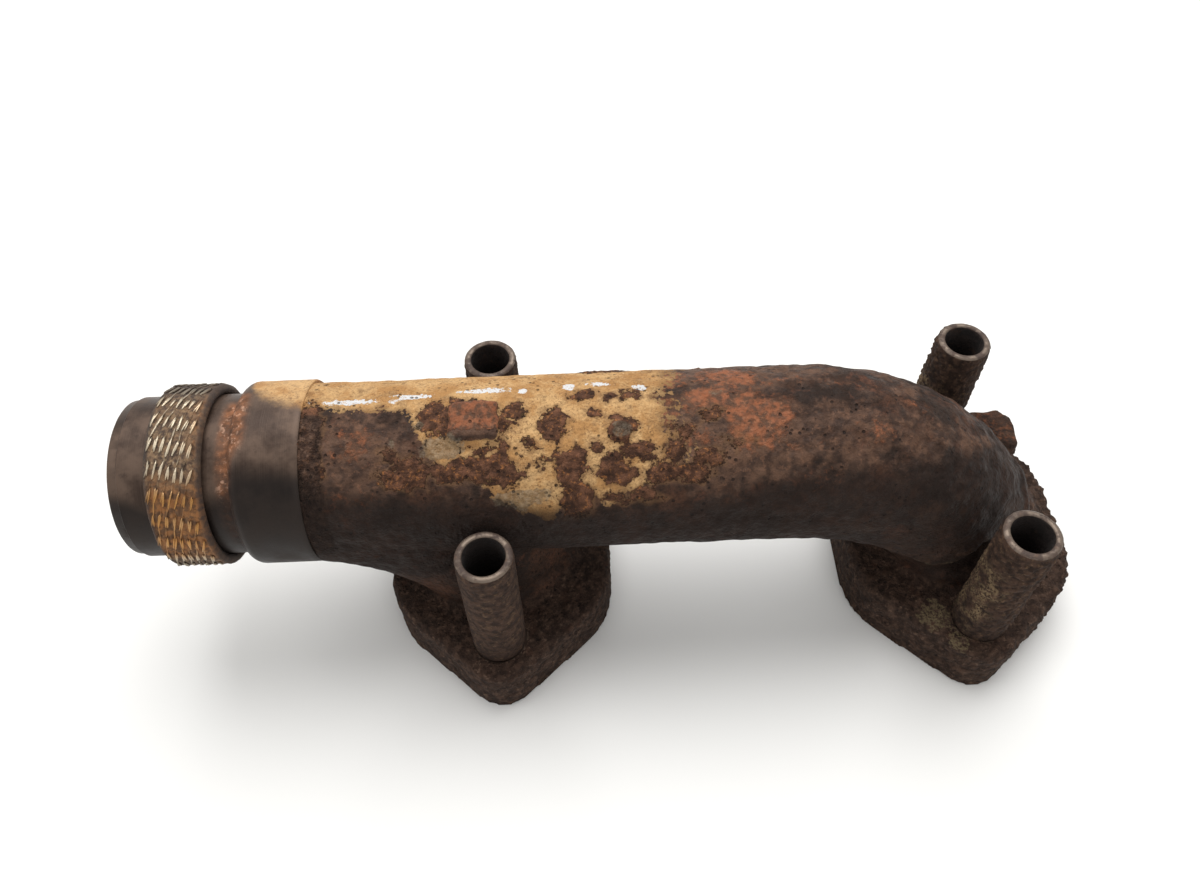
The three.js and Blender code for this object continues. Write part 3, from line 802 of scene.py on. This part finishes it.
def sleeve_piece(node):
    low, high = SLEEVES[node]
    x, y = (low.x + high.x) / 2, (low.y + high.y) / 2
    outer, inner = (high.x - low.x) / 2, 6.5 * MM
    bottom, top = low.z, high.z
    profile = [(inner, bottom + 0.5 * MM), (inner + 0.5 * MM, bottom), (outer - 0.8 * MM, bottom),
               (outer - 0.15 * MM, bottom + 0.7 * MM)]
    rings = 76
    for i in range(rings + 1):
        profile.append((outer - 0.1 * MM, bottom + 1.2 * MM + i / rings * (top - bottom - 2.2 * MM)))
    profile += [(outer - 0.2 * MM, top - 0.55 * MM), (outer - 0.75 * MM, top - 0.1 * MM),
                (outer - 1.2 * MM, top), (inner + 0.55 * MM, top), (inner + 0.12 * MM, top - 0.35 * MM),
                (inner, top - 1.2 * MM), (inner, (top + bottom) / 2)]
    obj = to_object(node + "_scaled", spun_upright(profile, x, y, 88))
    mesh = obj.data
    points = places(mesh)
    cx, cy = x / MM, y / MM
    away = np.hypot(points[:, 0] - cx, points[:, 1] - cy)
    out = np.column_stack([(points[:, 0] - cx) / away, (points[:, 1] - cy) / away, np.zeros(len(points))])
    thick, coarse, grit = SCALE[node]
    outside = step(away, outer / MM - 0.5, outer / MM - 0.15)
    body = outside * step(points[:, 2], bottom / MM, bottom / MM + 2) * step(-points[:, 2], -top / MM + 0.3,
                                                                             -top / MM + 2.4)
    to_pipe = step(-out[:, 1] * np.sign(cy), 0.1, 0.8)
    crumb = crumbs(points, coarse, 5)
    lift = thick * (1.3 * crumb + 0.4 * crumbs(points, coarse * 0.6, 6) - 0.1)
    lift += 0.35 * thick * rough(points, 9, 53) + 0.06 * rough(points, 3, 54)
    side = step(-out[:, 0], -0.2, 0.9) * step(-points[:, 2], -72, -54) * step(points[:, 2], 14, 34)
    lift += grit * side * 0.7 * (0.5 + 0.5 * rough(points, 3.2, 55))
    lift *= 1 - 0.65 * to_pipe
    lips = (away > outer / MM - 1.3) * (points[:, 2] > top / MM - 0.7) * 0.1 * rough(points, 1.4, 56)
    move_vertices(mesh, out * (np.clip(lift, -0.3, 1.25) * body + lips)[:, None])
    store(mesh, "grit", np.clip(grit * side * (0.55 + 0.6 * rough(points, 4, 57)), 0, 1) * outside)
    # Darker towards the foot, and painted shade on the side that faces the pipe, below its height.
    foot = step(-points[:, 2], -40, -24)
    under = 0.5 * step(to_pipe, 0.3, 1.0) * step(-points[:, 2], -55, -35)
    store(mesh, "soot_and_shade", np.clip(0.55 * foot + under + 0.25 * rough(points, 8, 58), 0, 1))
    store(mesh, "hollow", (1 - crumb) * outside * min(1.0, 1.25 * thick))
    store(mesh, "across", away)
    count = len(mesh.polygons)
    centre = np.empty(count * 3)
    mesh.polygons.foreach_get("center", centre)
    centre = centre.reshape(-1, 3) / MM
    spread = np.hypot(centre[:, 0] - cx, centre[:, 1] - cy)
    finish = np.zeros(count, dtype=np.int32)
    finish[(centre[:, 2] > top / MM - 0.5) | (centre[:, 2] < bottom / MM + 0.3)] = 1
    finish[(spread < 6.75) & (centre[:, 2] < top / MM - 0.3)] = 2
    mesh.polygons.foreach_set("material_index", finish)
    shade(mesh, 60)
    return obj


# ---- Materials ----------------------------------------------------------------------------------

class Nodes:
    """Adds shader nodes to a tree with short calls."""

    def __init__(self, tree):
        self.tree = tree

    def feed(self, socket, value):
        if isinstance(value, bpy.types.NodeSocket):
            self.tree.links.new(value, socket)
        else:
            socket.default_value = value

    def add(self, kind, inputs, output=0, **settings):
        node = self.tree.nodes.new("ShaderNode" + kind)
        for key, value in settings.items():
            setattr(node, key, value)
        for key, value in inputs.items():
            self.feed(node.inputs[key], value)
        return node.outputs[output]

    def math(self, operation, first, second=0.0):
        return self.add("Math", {0: first, 1: second}, operation=operation, use_clamp=False)

    def times(self, first, second):
        return self.math("MULTIPLY", first, second)

    def plus(self, first, second):
        return self.math("ADD", first, second)

    def mix(self, amount, first, second):
        return self.add("Mix", {0: amount, 6: first, 7: second}, output=2, data_type="RGBA")

    def blend(self, amount, first, second):
        return self.add("Mix", {0: amount, 2: first, 3: second}, output=0, data_type="FLOAT")

    def between(self, value, low, high, start=0.0, end=1.0):
        inputs = {"Value": value, "From Min": low, "From Max": high, "To Min": start, "To Max": end}
        return self.add("MapRange", inputs, interpolation_type="SMOOTHSTEP")

    def place(self):
        """Object coordinates in millimetres."""
        coordinates = self.add("TexCoord", {}, output="Object")
        return self.add("VectorMath", {0: coordinates, "Scale": 1000.0}, operation="SCALE")

    def lumps(self, place, size, detail=3.0, grit=0.55, warp=0.0):
        inputs = {"Vector": place, "Scale": 1 / size if not isinstance(size, bpy.types.NodeSocket)
                  else self.math("DIVIDE", 1.0, size), "Detail": detail, "Roughness": grit,
                  "Distortion": warp}
        return self.add("TexNoise", inputs)

    def field(self, name):
        return self.add("Attribute", {}, output="Fac", attribute_name=name)

    def use(self, group, inputs):
        node = self.tree.nodes.new("ShaderNodeGroup")
        node.node_tree = group
        for key, value in inputs.items():
            self.feed(node.inputs[key], value)
        return node.outputs


def effect(name, inputs, outputs, build):
    """A shader node group shared by several materials, made once."""
    tree = bpy.data.node_groups.get(name)
    if tree:
        return tree
    tree = bpy.data.node_groups.new(name, "ShaderNodeTree")
    for label, (kind, value) in inputs.items():
        socket = tree.interface.new_socket(label, in_out="INPUT", socket_type="NodeSocket" + kind)
        if value is not None:
            socket.default_value = value
    for label, kind in outputs.items():
        tree.interface.new_socket(label, in_out="OUTPUT", socket_type="NodeSocket" + kind)
    nodes = Nodes(tree)
    given = tree.nodes.new("NodeGroupInput").outputs
    end = tree.nodes.new("NodeGroupOutput")
    for label, value in build(nodes, given).items():
        nodes.feed(end.inputs[label], value)
    return tree


def ragged_edge():
    """Turns a soft field into a patch with a torn edge."""
    def build(nodes, given):
        noise_value = nodes.lumps(given["Place"], given["Tooth"], 4.0, 0.6)
        torn = nodes.times(nodes.math("SUBTRACT", noise_value, 0.5), given["Bite"])
        return {"Mask": nodes.between(nodes.plus(given["Field"], torn), 0.46, 0.56)}
    inputs = {"Field": ("Float", 0.0), "Place": ("Vector", None), "Tooth": ("Float", 2.0),
              "Bite": ("Float", 0.5)}
    return effect("Ragged Edge", inputs, {"Mask": "Float"}, build)


def rust_crust():
    """Grainy rust in three colours, with its height."""
    def build(nodes, given):
        place, grain = given["Place"], given["Grain"]
        coarse = nodes.lumps(place, nodes.times(grain, 2.2), 4.0, 0.62)
        fine = nodes.lumps(place, nodes.times(grain, 0.55), 2.0, 0.6)
        cells = nodes.add("TexVoronoi", {"Vector": place, "Scale": nodes.math("DIVIDE", 1.0, grain)})
        body = nodes.mix(nodes.between(coarse, 0.38, 0.62), given["Dark"], given["Middle"])
        body = nodes.mix(nodes.between(fine, 0.45, 0.75, 0.0, 0.5), body, given["Dark"])
        glow = nodes.between(nodes.lumps(place, nodes.times(grain, 1.4), 3.0, 0.7), 0.54, 0.68)
        body = nodes.mix(nodes.times(glow, given["Glow"]), body, given["Bright"])
        height = nodes.plus(nodes.times(coarse, 0.7), nodes.times(cells, 0.35))
        return {"Colour": body, "Height": nodes.plus(height, nodes.times(fine, 0.25))}
    inputs = {"Place": ("Vector", None), "Grain": ("Float", 1.0), "Dark": ("Color", None),
              "Middle": ("Color", None), "Bright": ("Color", None), "Glow": ("Float", 0.5)}
    return effect("Rust Crust", inputs, {"Colour": "Color", "Height": "Float"}, build)


def cast_grain():
    """Fine sand-cast grain and small dark pits."""
    def build(nodes, given):
        place = given["Place"]
        grain = nodes.lumps(place, 1.1, 3.0, 0.65)
        cells = nodes.add("TexVoronoi", {"Vector": place, "Scale": 0.42, "Randomness": 1.0})
        gate = nodes.between(nodes.lumps(place, 7.0, 1.0), 0.48, 0.62)
        pits = nodes.times(nodes.between(cells, 0.26, 0.12), gate)
        lumps = nodes.times(nodes.lumps(place, 3.0, 3.0, 0.55), 1.8)
        height = nodes.math("SUBTRACT", nodes.plus(nodes.times(grain, 0.6), lumps),
                            nodes.times(pits, 0.8))
        return {"Height": height, "Pits": pits, "Grain": grain}
    inputs = {"Place": ("Vector", None)}
    return effect("Cast Grain", inputs, {"Height": "Float", "Pits": "Float", "Grain": "Float"}, build)


def dust_coat():
    """Baked pale dust: clouded, with dark specks showing through."""
    def build(nodes, given):
        place = given["Place"]
        cloud = nodes.lumps(place, 9.0, 6.0, 0.68)
        body = nodes.mix(nodes.between(cloud, 0.40, 0.60), given["Deep"], given["Pale"])
        haze = nodes.between(nodes.lumps(place, 4.5, 5.0, 0.7, 0.3), 0.50, 0.70, 0.0, 0.6)
        body = nodes.mix(haze, body, given["Speck"])
        specks = nodes.between(nodes.lumps(place, 0.7, 3.0, 0.8), 0.51, 0.64)
        thin = nodes.between(nodes.lumps(place, 5.0, 2.0), 0.35, 0.6, 0.4, 1.0)
        body = nodes.mix(nodes.times(nodes.times(specks, thin), 0.7), body, given["Speck"])
        return {"Colour": body, "Specks": specks}
    inputs = {"Place": ("Vector", None), "Pale": ("Color", None), "Deep": ("Color", None),
              "Speck": ("Color", None)}
    return effect("Dust Coat", inputs, {"Colour": "Color", "Specks": "Float"}, build)


def turned_marks():
    """Lathe marks that run round a turned surface, from the distance across them."""
    def build(nodes, given):
        def lines(pitch, detail):
            return nodes.add("TexNoise", {"W": given["Across"], "Scale": 1 / pitch, "Detail": detail},
                             noise_dimensions="1D")
        height = nodes.plus(nodes.times(lines(0.35, 2.0), 0.6), nodes.times(lines(1.6, 1.0), 0.4))
        scuff = nodes.between(nodes.lumps(given["Place"], 2.6, 4.0, 0.7), 0.55, 0.75)
        return {"Height": height, "Scuff": scuff}
    inputs = {"Across": ("Float", 0.0), "Place": ("Vector", None)}
    return effect("Turned Marks", inputs, {"Height": "Float", "Scuff": "Float"}, build)


def finish(name, roughness_and_more, build):
    """A material whose Principled shader takes fixed values from the dictionary and the rest from build."""
    material = bpy.data.materials.get(name)
    if material:
        return material
    material = bpy.data.materials.new(name)
    material.use_nodes = True
    tree = material.node_tree
    tree.nodes.clear()
    nodes = Nodes(tree)
    shader = tree.nodes.new("ShaderNodeBsdfPrincipled")
    for key, value in roughness_and_more.items():
        shader.inputs[key].default_value = value
    made = build(nodes)
    depth = made.pop("Depth", 0.3)
    if "Height" in made:
        made["Normal"] = nodes.add("Bump",
                                   {"Height": made.pop("Height"), "Distance": depth * MM, "Strength": 1.0})
    for key, value in made.items():
        nodes.feed(shader.inputs[key], value)
    end = tree.nodes.new("ShaderNodeOutputMaterial")
    tree.links.new(shader.outputs[0], end.inputs["Surface"])
    return material


def cast_finish():
    paint = colours()

    def build(nodes):
        place = nodes.place()
        grain = nodes.use(cast_grain(), {"Place": place})
        soot_and_shade_field = nodes.field("soot_and_shade")
        cloud = nodes.between(nodes.lumps(place, 15.0, 4.0, 0.6), 0.40, 0.60)
        body = nodes.mix(cloud, paint.iron, paint.brown)
        slate = nodes.between(nodes.lumps(place, 10.0, 4.0, 0.6, 0.4), 0.52, 0.64, 0.0, 0.75)
        body = nodes.mix(slate, body, paint.slate)
        spots = nodes.between(nodes.lumps(place, 3.2, 4.0, 0.65, 0.3), 0.42, 0.62, 0.0, 0.55)
        body = nodes.mix(spots, body, paint.iron)
        bloom = nodes.between(nodes.lumps(place, 6.5, 5.0, 0.66, 0.6), 0.54, 0.70, 0.0, 0.7)
        body = nodes.mix(bloom, body, tint(100, 64, 47))
        body = nodes.mix(nodes.between(grain["Grain"], 0.42, 0.68, 0.0, 0.5), body, tint(26, 20, 18))

        def patch(field, tooth, bite):
            return nodes.use(ragged_edge(),
                             {"Field": nodes.field(field), "Place": place, "Tooth": tooth,
                              "Bite": bite})["Mask"]

        brown = nodes.use(rust_crust(), {"Place": place, "Grain": 1.7, "Dark": tint(62, 46, 38),
                                         "Middle": tint(97, 72, 57), "Bright": tint(122, 88, 68),
                                         "Glow": 0.5})
        mottle = nodes.times(nodes.math("SUBTRACT", nodes.lumps(place, 3.0, 5.0, 0.65), 0.5), 1.1)
        band = nodes.between(nodes.plus(nodes.field("brown"), mottle), 0.3, 0.75)
        body = nodes.mix(nodes.times(band, 0.9), body, brown["Colour"])
        mottle = nodes.times(nodes.math("SUBTRACT", nodes.lumps(place, 2.6, 5.0, 0.66), 0.5), 1.7)
        orange = nodes.between(nodes.plus(nodes.field("orange"), mottle), 0.38, 0.78)
        rust = nodes.use(rust_crust(), {"Place": place, "Grain": 1.1, "Dark": tint(88, 62, 47),
                                        "Middle": paint.orange, "Bright": tint(158, 106, 76), "Glow": 0.6})
        body = nodes.mix(nodes.times(orange, 0.85), body, rust["Colour"])
        coat = patch("coat", 1.5, 1.3)
        dust = nodes.use(dust_coat(), {"Place": place, "Pale": paint.dust_pale, "Deep": paint.dust,
                                       "Speck": tint(98, 70, 47)})
        thin = nodes.between(nodes.field("coat"), 0.85, 0.5, 0.0, 0.7)
        body = nodes.mix(coat, body, nodes.mix(thin, dust["Colour"], tint(112, 86, 58)))
        halo = nodes.between(nodes.plus(nodes.field("scab"),
                                        nodes.times(nodes.lumps(place, 4.0, 4.0, 0.65), 0.5)), 0.42, 0.8,
                             0.0, 0.6)
        body = nodes.mix(halo, body, tint(112, 82, 56))
        scab = patch("scab", 1.3, 1.1)
        flakes = nodes.use(rust_crust(), {"Place": place, "Grain": 1.0, "Dark": tint(72, 49, 37),
                                          "Middle": paint.scab, "Bright": paint.ember, "Glow": 0.55})
        body = nodes.mix(scab, body, flakes["Colour"])
        grey = patch("grey", 2.4, 0.6)
        body = nodes.mix(nodes.times(grey, 0.6), body,
                         nodes.mix(nodes.between(nodes.lumps(place, 1.6, 3.0, 0.7), 0.4, 0.65),
                                   tint(84, 70, 52), paint.grey))
        crust = nodes.between(nodes.field("crust"), 0.25, 0.75)
        scale = nodes.use(rust_crust(), {"Place": place, "Grain": 1.1, "Dark": tint(48, 36, 30),
                                         "Middle": tint(84, 65, 54), "Bright": tint(128, 104, 88),
                                         "Glow": 0.5})
        body = nodes.mix(nodes.times(crust, 0.85), body, scale["Colour"])
        gaps = nodes.times(nodes.between(nodes.field("hollow"), 0.45, 0.95, 0.0, 0.45),
                           nodes.math("MAXIMUM", scab, crust))
        body = nodes.mix(gaps, body, tint(28, 20, 17))
        # Pale grit; the line along the ledge under the elbow is also a painted highlight.
        grit = nodes.times(patch("grit", 2.2, 1.8),
                           nodes.between(nodes.lumps(place, 1.0, 3.0, 0.7), 0.38, 0.6))
        body = nodes.mix(grit, body, tint(104, 90, 68))
        marks = nodes.times(patch("paint", 1.5, 0.9),
                            nodes.between(nodes.lumps(place, 0.8, 2.0, 0.7), 0.34, 0.46))
        body = nodes.mix(marks, body, paint.paint)
        body = nodes.mix(nodes.times(grain["Pits"], 0.7), body, tint(24, 18, 16))
        # Soot colour laid over the soot field: soot, and painted shade on the underside, the low parts, the
        # neck and the pad's front sides.
        body = nodes.mix(nodes.times(nodes.between(soot_and_shade_field, 0.15, 0.95), 0.8), body, paint.soot_and_shade)

        dull = nodes.blend(coat, nodes.between(nodes.lumps(place, 4.0, 3.0), 0.3, 0.7, 0.55, 0.8), 0.9)
        dull = nodes.blend(nodes.math("MAXIMUM", scab, crust), dull, 0.88)
        dull = nodes.blend(grey, dull, 0.42)
        flake_height = nodes.times(nodes.plus(flakes["Height"], 0.6), scab)
        height = nodes.plus(nodes.times(grain["Height"], 0.75), nodes.times(flake_height, 0.9))
        height = nodes.plus(height, nodes.times(nodes.times(scale["Height"], crust), 1.1))
        height = nodes.plus(height, nodes.times(nodes.times(rust["Height"], orange), 0.35))
        return {"Base Color": body, "Roughness": dull, "Height": height, "Depth": 1.0}
    return finish("Rusted Cast Iron", {"IOR": 1.25}, build)


def turned_finish():
    paint = colours()

    def build(nodes):
        place = nodes.place()
        marks = nodes.use(turned_marks(), {"Across": nodes.field("across"), "Place": place})
        cloud = nodes.lumps(place, 12.0, 4.0, 0.6)
        body = nodes.mix(nodes.between(cloud, 0.36, 0.64), tint(61, 47, 39), paint.turned)
        body = nodes.mix(nodes.between(marks["Height"], 0.42, 0.62, 0.0, 0.12), body, tint(108, 92, 80))
        body = nodes.mix(nodes.times(marks["Scuff"], 0.45), body, tint(42, 33, 29))
        coat = nodes.between(nodes.plus(nodes.field("coat"),
                                        nodes.times(nodes.lumps(place, 4.0, 5.0, 0.7), 0.8)), 0.6, 1.3)
        dust = nodes.use(dust_coat(),
                         {"Place": place, "Pale": paint.dust_pale, "Deep": paint.dust,
                          "Speck": tint(96, 70, 50)})
        body = nodes.mix(coat, body, dust["Colour"])
        stain = nodes.times(nodes.between(nodes.field("orange"), 0.1, 0.8),
                            nodes.between(nodes.lumps(place, 3.0, 4.0, 0.65), 0.3, 0.6, 0.35, 1.0))
        rust = nodes.use(rust_crust(),
                         {"Place": place, "Grain": 1.4, "Dark": tint(92, 60, 40),
                          "Middle": tint(140, 92, 62),
                          "Bright": tint(190, 148, 122), "Glow": 0.8})
        body = nodes.mix(stain, body, rust["Colour"])
        # Painted shade on the underside of the spigot and collar, in a near-black soot colour.
        soot_and_shade = nodes.between(nodes.plus(nodes.field("soot_and_shade"),
                                        nodes.times(nodes.lumps(place, 6.0, 4.0), 0.3)), 0.3, 1.1)
        body = nodes.mix(nodes.times(soot_and_shade, 0.88), body, tint(26, 21, 19))
        dull = nodes.blend(nodes.math("MAXIMUM", coat, stain), nodes.between(cloud, 0.3, 0.7, 0.38, 0.58),
                           0.82)
        height = nodes.plus(nodes.times(marks["Height"], 0.18),
                            nodes.times(nodes.lumps(place, 1.2, 3.0, 0.7), 0.3))
        metal = nodes.blend(nodes.math("MAXIMUM", coat, stain), 0.45, 0.0)
        return {"Base Color": body, "Roughness": dull, "Metallic": metal, "Height": height, "Depth": 0.16}
    return finish("Turned Iron", {"Specular IOR Level": 0.3}, build)


def passage_finish():
    paint = colours()

    def build(nodes):
        place = nodes.place()
        grain = nodes.use(cast_grain(), {"Place": place})
        flakes = nodes.use(rust_crust(),
                           {"Place": place, "Grain": 2.2, "Dark": tint(18, 15, 14),
                            "Middle": tint(46, 35, 30),
                            "Bright": tint(86, 58, 42), "Glow": 0.4})
        body = nodes.mix(nodes.between(nodes.lumps(place, 18.0, 3.0), 0.4, 0.6, 0.35, 0.9),
                         flakes["Colour"], paint.soot_and_shade)
        height = nodes.plus(grain["Height"], flakes["Height"])
        return {"Base Color": body, "Height": height, "Depth": 0.5}
    return finish("Gas Passage Soot", {"Roughness": 0.95}, build)


def gasket_finish():
    def build(nodes):
        place = nodes.place()
        marks = nodes.use(turned_marks(),
                          {"Across": nodes.add("SeparateXYZ", {"Vector": place}), "Place": place})
        flakes = nodes.use(rust_crust(),
                           {"Place": place, "Grain": 1.8, "Dark": tint(60, 44, 38),
                            "Middle": tint(112, 74, 54),
                            "Bright": tint(158, 98, 60), "Glow": 0.6})
        bare = nodes.between(nodes.lumps(place, 8.0, 5.0, 0.65), 0.44, 0.6)
        body = nodes.mix(bare, flakes["Colour"],
                         nodes.mix(marks["Scuff"], tint(122, 114, 106), tint(80, 72, 66)))
        dull = nodes.blend(bare, 0.88, 0.5)
        metal = nodes.blend(bare, 0.0, 0.6)
        height = nodes.blend(bare, flakes["Height"], nodes.times(marks["Height"], 0.3))
        return {"Base Color": body, "Roughness": dull, "Metallic": metal, "Height": height, "Depth": 0.25}
    return finish("Worn Gasket Face", {}, build)


def wire_finish():
    paint = colours()

    def build(nodes):
        place = nodes.place()
        crown = nodes.between(nodes.plus(nodes.field("crown"),
                                         nodes.times(nodes.lumps(place, 3.2, 4.0, 0.7), 0.9)), 0.72, 1.3)
        gold, dark = nodes.field("gold"), nodes.field("dark")
        flakes = nodes.use(rust_crust(),
                           {"Place": place, "Grain": 0.8, "Dark": tint(70, 54, 42),
                            "Middle": tint(128, 102, 76),
                            "Bright": tint(164, 138, 102), "Glow": 0.5})
        stain = nodes.between(nodes.lumps(place, 2.0, 3.0), 0.4, 0.6)
        stain = nodes.mix(stain, tint(92, 60, 34), tint(150, 98, 50))
        deep = nodes.mix(nodes.times(gold, 0.8), flakes["Colour"], stain)
        bright = nodes.mix(gold, paint.wire, tint(178, 130, 74))
        body = nodes.mix(crown, deep, bright)
        body = nodes.mix(nodes.times(dark, 0.8), body, tint(50, 41, 38))
        shine = nodes.times(crown, nodes.math("SUBTRACT", 1.0, nodes.times(dark, 0.7)))
        return {"Base Color": body, "Roughness": nodes.blend(shine, 0.8, 0.38),
                "Metallic": nodes.blend(shine, 0.15, 0.75),
                "Height": flakes["Height"], "Depth": 0.14}
    return finish("Knitted Wire", {}, build)


def sleeve_finish():
    def build(nodes):
        place = nodes.place()
        scale = nodes.use(rust_crust(),
                          {"Place": place, "Grain": 1.2, "Dark": tint(46, 34, 28),
                           "Middle": tint(76, 57, 46),
                           "Bright": tint(112, 88, 66), "Glow": 0.5})
        body = nodes.mix(nodes.between(nodes.field("hollow"), 0.45, 0.95, 0.0, 0.45), scale["Colour"],
                         tint(26, 19, 16))
        grit = nodes.times(nodes.between(nodes.field("grit"), 0.2, 0.7),
                           nodes.between(nodes.lumps(place, 1.0, 3.0, 0.7), 0.42, 0.6))
        body = nodes.mix(grit, body, tint(120, 101, 76))
        # Darker towards the foot, and painted shade on the side under the pipe, from the soot field.
        body = nodes.mix(nodes.times(nodes.field("soot_and_shade"), 0.7), body, tint(34, 27, 25))
        return {"Base Color": body, "Height": scale["Height"], "Depth": 0.6}
    return finish("Scaled Sleeve Steel", {"Roughness": 0.85, "IOR": 1.25}, build)


def sleeve_end_finish():
    def build(nodes):
        place = nodes.place()
        marks = nodes.use(turned_marks(), {"Across": nodes.field("across"), "Place": place})
        flakes = nodes.use(rust_crust(),
                           {"Place": place, "Grain": 1.6, "Dark": tint(66, 52, 45),
                            "Middle": tint(84, 68, 58),
                            "Bright": tint(112, 86, 68), "Glow": 0.4})
        bare = nodes.between(nodes.lumps(place, 4.0, 4.0, 0.65), 0.42, 0.58)
        body = nodes.mix(bare, flakes["Colour"],
                         nodes.mix(marks["Scuff"], tint(112, 98, 86), tint(88, 75, 66)))
        return {"Base Color": body, "Roughness": nodes.blend(bare, 0.72, 0.42),
                "Metallic": nodes.blend(bare, 0.2, 0.6),
                "Height": nodes.blend(bare, flakes["Height"], marks["Height"]), "Depth": 0.15}
    return finish("Worn Sleeve End", {}, build)


def bench_finish():
    return finish("Pale Bench Top", {"Base Color": colours().floor, "Roughness": 0.5}, lambda nodes: {})


# ---- Operators ----------------------------------------------------------------------------------

class MANIFOLD_OT_casting(bpy.types.Operator):
    """Builds the iron casting: spigot, collar, pipe, elbow, left branch, flanges, pad, nub and lug"""
    bl_idname = "manifold.casting"
    bl_label = "Manifold Casting"

    def execute(self, context):
        body = cast_body()
        combine(body, collar_shape(), "UNION")
        cut_openings(body)
        body.data.materials.clear()
        paint_casting(body.data)
        for material in (cast_finish(), turned_finish(), passage_finish(), gasket_finish()):
            body.data.materials.append(material)
        sort_casting_faces(body.data)
        shade(body.data, 48)
        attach(body, "casting")
        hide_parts("manifold_casting")
        return {"FINISHED"}


class MANIFOLD_OT_ring(bpy.types.Operator):
    """Builds the packing ring of pressed knitted wire"""
    bl_idname = "manifold.ring"
    bl_label = "Packing Ring"

    def execute(self, context):
        ring = ring_core()
        whole = bmesh.new()
        whole.from_mesh(ring.data)
        join_into(whole, wire_crowns())
        whole.to_mesh(ring.data)
        whole.free()
        paint_ring(ring.data)
        ring.data.materials.append(wire_finish())
        shade(ring.data, 75)
        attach(ring, "ring")
        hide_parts("packing_ring")
        return {"FINISHED"}


class MANIFOLD_OT_sleeves(bpy.types.Operator):
    """Builds the four spacer sleeves that stand under the flange bolts"""
    bl_idname = "manifold.sleeves"
    bl_label = "Spacer Sleeves"

    def execute(self, context):
        for node in SLEEVES:
            sleeve = sleeve_piece(node)
            for material in (sleeve_finish(), sleeve_end_finish(), passage_finish()):
                sleeve.data.materials.append(material)
            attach(sleeve, SLEEVE_BODY[node])
            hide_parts(node)
        return {"FINISHED"}


def aim(obj, spot, target):
    obj.location = spot
    obj.rotation_euler = (Vector(target) - Vector(spot)).to_track_quat("-Z", "Y").to_euler()


class MANIFOLD_OT_stage(bpy.types.Operator):
    """Sets the pale bench, the soft lights and the camera"""
    bl_idname = "manifold.stage"
    bl_label = "Stage"

    def execute(self, context):
        scene = context.scene
        shape = bmesh.new()
        bmesh.ops.create_circle(shape, cap_ends=True, radius=4.0, segments=96)
        bench = to_object("bench", shape)
        bench.data.materials.append(bench_finish())

        world = bpy.data.worlds.new("Studio")
        world.use_nodes = True
        world.node_tree.nodes["Background"].inputs["Color"].default_value = (1.0, 1.0, 1.0, 1.0)
        world.node_tree.nodes["Background"].inputs["Strength"].default_value = 0.62
        scene.world = world
        for name, spot, size, power in (("top_light", (0.1, 0.75, 1.5), 1.6, 26.0),
                                        ("left_light", (-1.3, 0.1, 1.0), 1.1, 5.0),
                                        ("front_light", (0.5, -1.4, 1.1), 1.3, 4.0)):
            light = bpy.data.lights.new(name, "AREA")
            light.shape = "DISK"
            light.size = size
            light.energy = power
            lamp = bpy.data.objects.new(name, light)
            scene.collection.objects.link(lamp)
            aim(lamp, spot, (0, 0, 0.04))
        scene.view_settings.view_transform = "Standard"

        camera = bpy.data.cameras.new("camera")
        camera.lens = 29.32
        camera.sensor_width = 36.0
        camera.clip_start = 0.01
        view = bpy.data.objects.new("camera", camera)
        scene.collection.objects.link(view)
        azimuth, down, roll = (math.radians(angle) for angle in (-1.68, 53.34, 0.86))
        forward = Vector((-math.sin(azimuth) * math.cos(down), math.cos(azimuth) * math.cos(down),
                          -math.sin(down)))
        right = Vector((math.cos(azimuth), math.sin(azimuth), 0))
        below = forward.cross(right)
        right, below = (math.cos(roll) * right + math.sin(roll) * below,
                        math.cos(roll) * below - math.sin(roll) * right)
        turn = Matrix((right, -below, -forward)).transposed().to_4x4()
        view.matrix_world = Matrix.Translation((-15.19 * MM, -186.29 * MM, 329.61 * MM)) @ turn
        scene.camera = view
        return {"FINISHED"}


class MANIFOLD_PT_panel(bpy.types.Panel):
    bl_label = "Exhaust Manifold"
    bl_idname = "MANIFOLD_PT_panel"
    bl_space_type = "VIEW_3D"
    bl_region_type = "UI"
    bl_category = "Manifold"

    def draw(self, context):
        layout = self.layout
        for step_class in STEPS:
            layout.operator(step_class.bl_idname)
        for group in (context.scene.manifold_sizes, context.scene.manifold_colours):
            box = layout.box()
            for name in group.bl_rna.properties.keys():
                if name not in ("rna_type", "name"):
                    box.prop(group, name)


STEPS = (MANIFOLD_OT_stage, MANIFOLD_OT_casting, MANIFOLD_OT_ring, MANIFOLD_OT_sleeves)
CLASSES = (ManifoldSizes, ManifoldColours, *STEPS, MANIFOLD_PT_panel)


def register():
    for each in CLASSES:
        bpy.utils.register_class(each)
    bpy.types.Scene.manifold_sizes = PointerProperty(type=ManifoldSizes)
    bpy.types.Scene.manifold_colours = PointerProperty(type=ManifoldColours)


def unregister():
    del bpy.types.Scene.manifold_colours
    del bpy.types.Scene.manifold_sizes
    for each in reversed(CLASSES):
        bpy.utils.unregister_class(each)


def main():
    register()
    bpy.ops.manifold.stage()
    bpy.ops.manifold.casting()
    bpy.ops.manifold.ring()
    bpy.ops.manifold.sleeves()


if __name__ == "__main__":
    main()
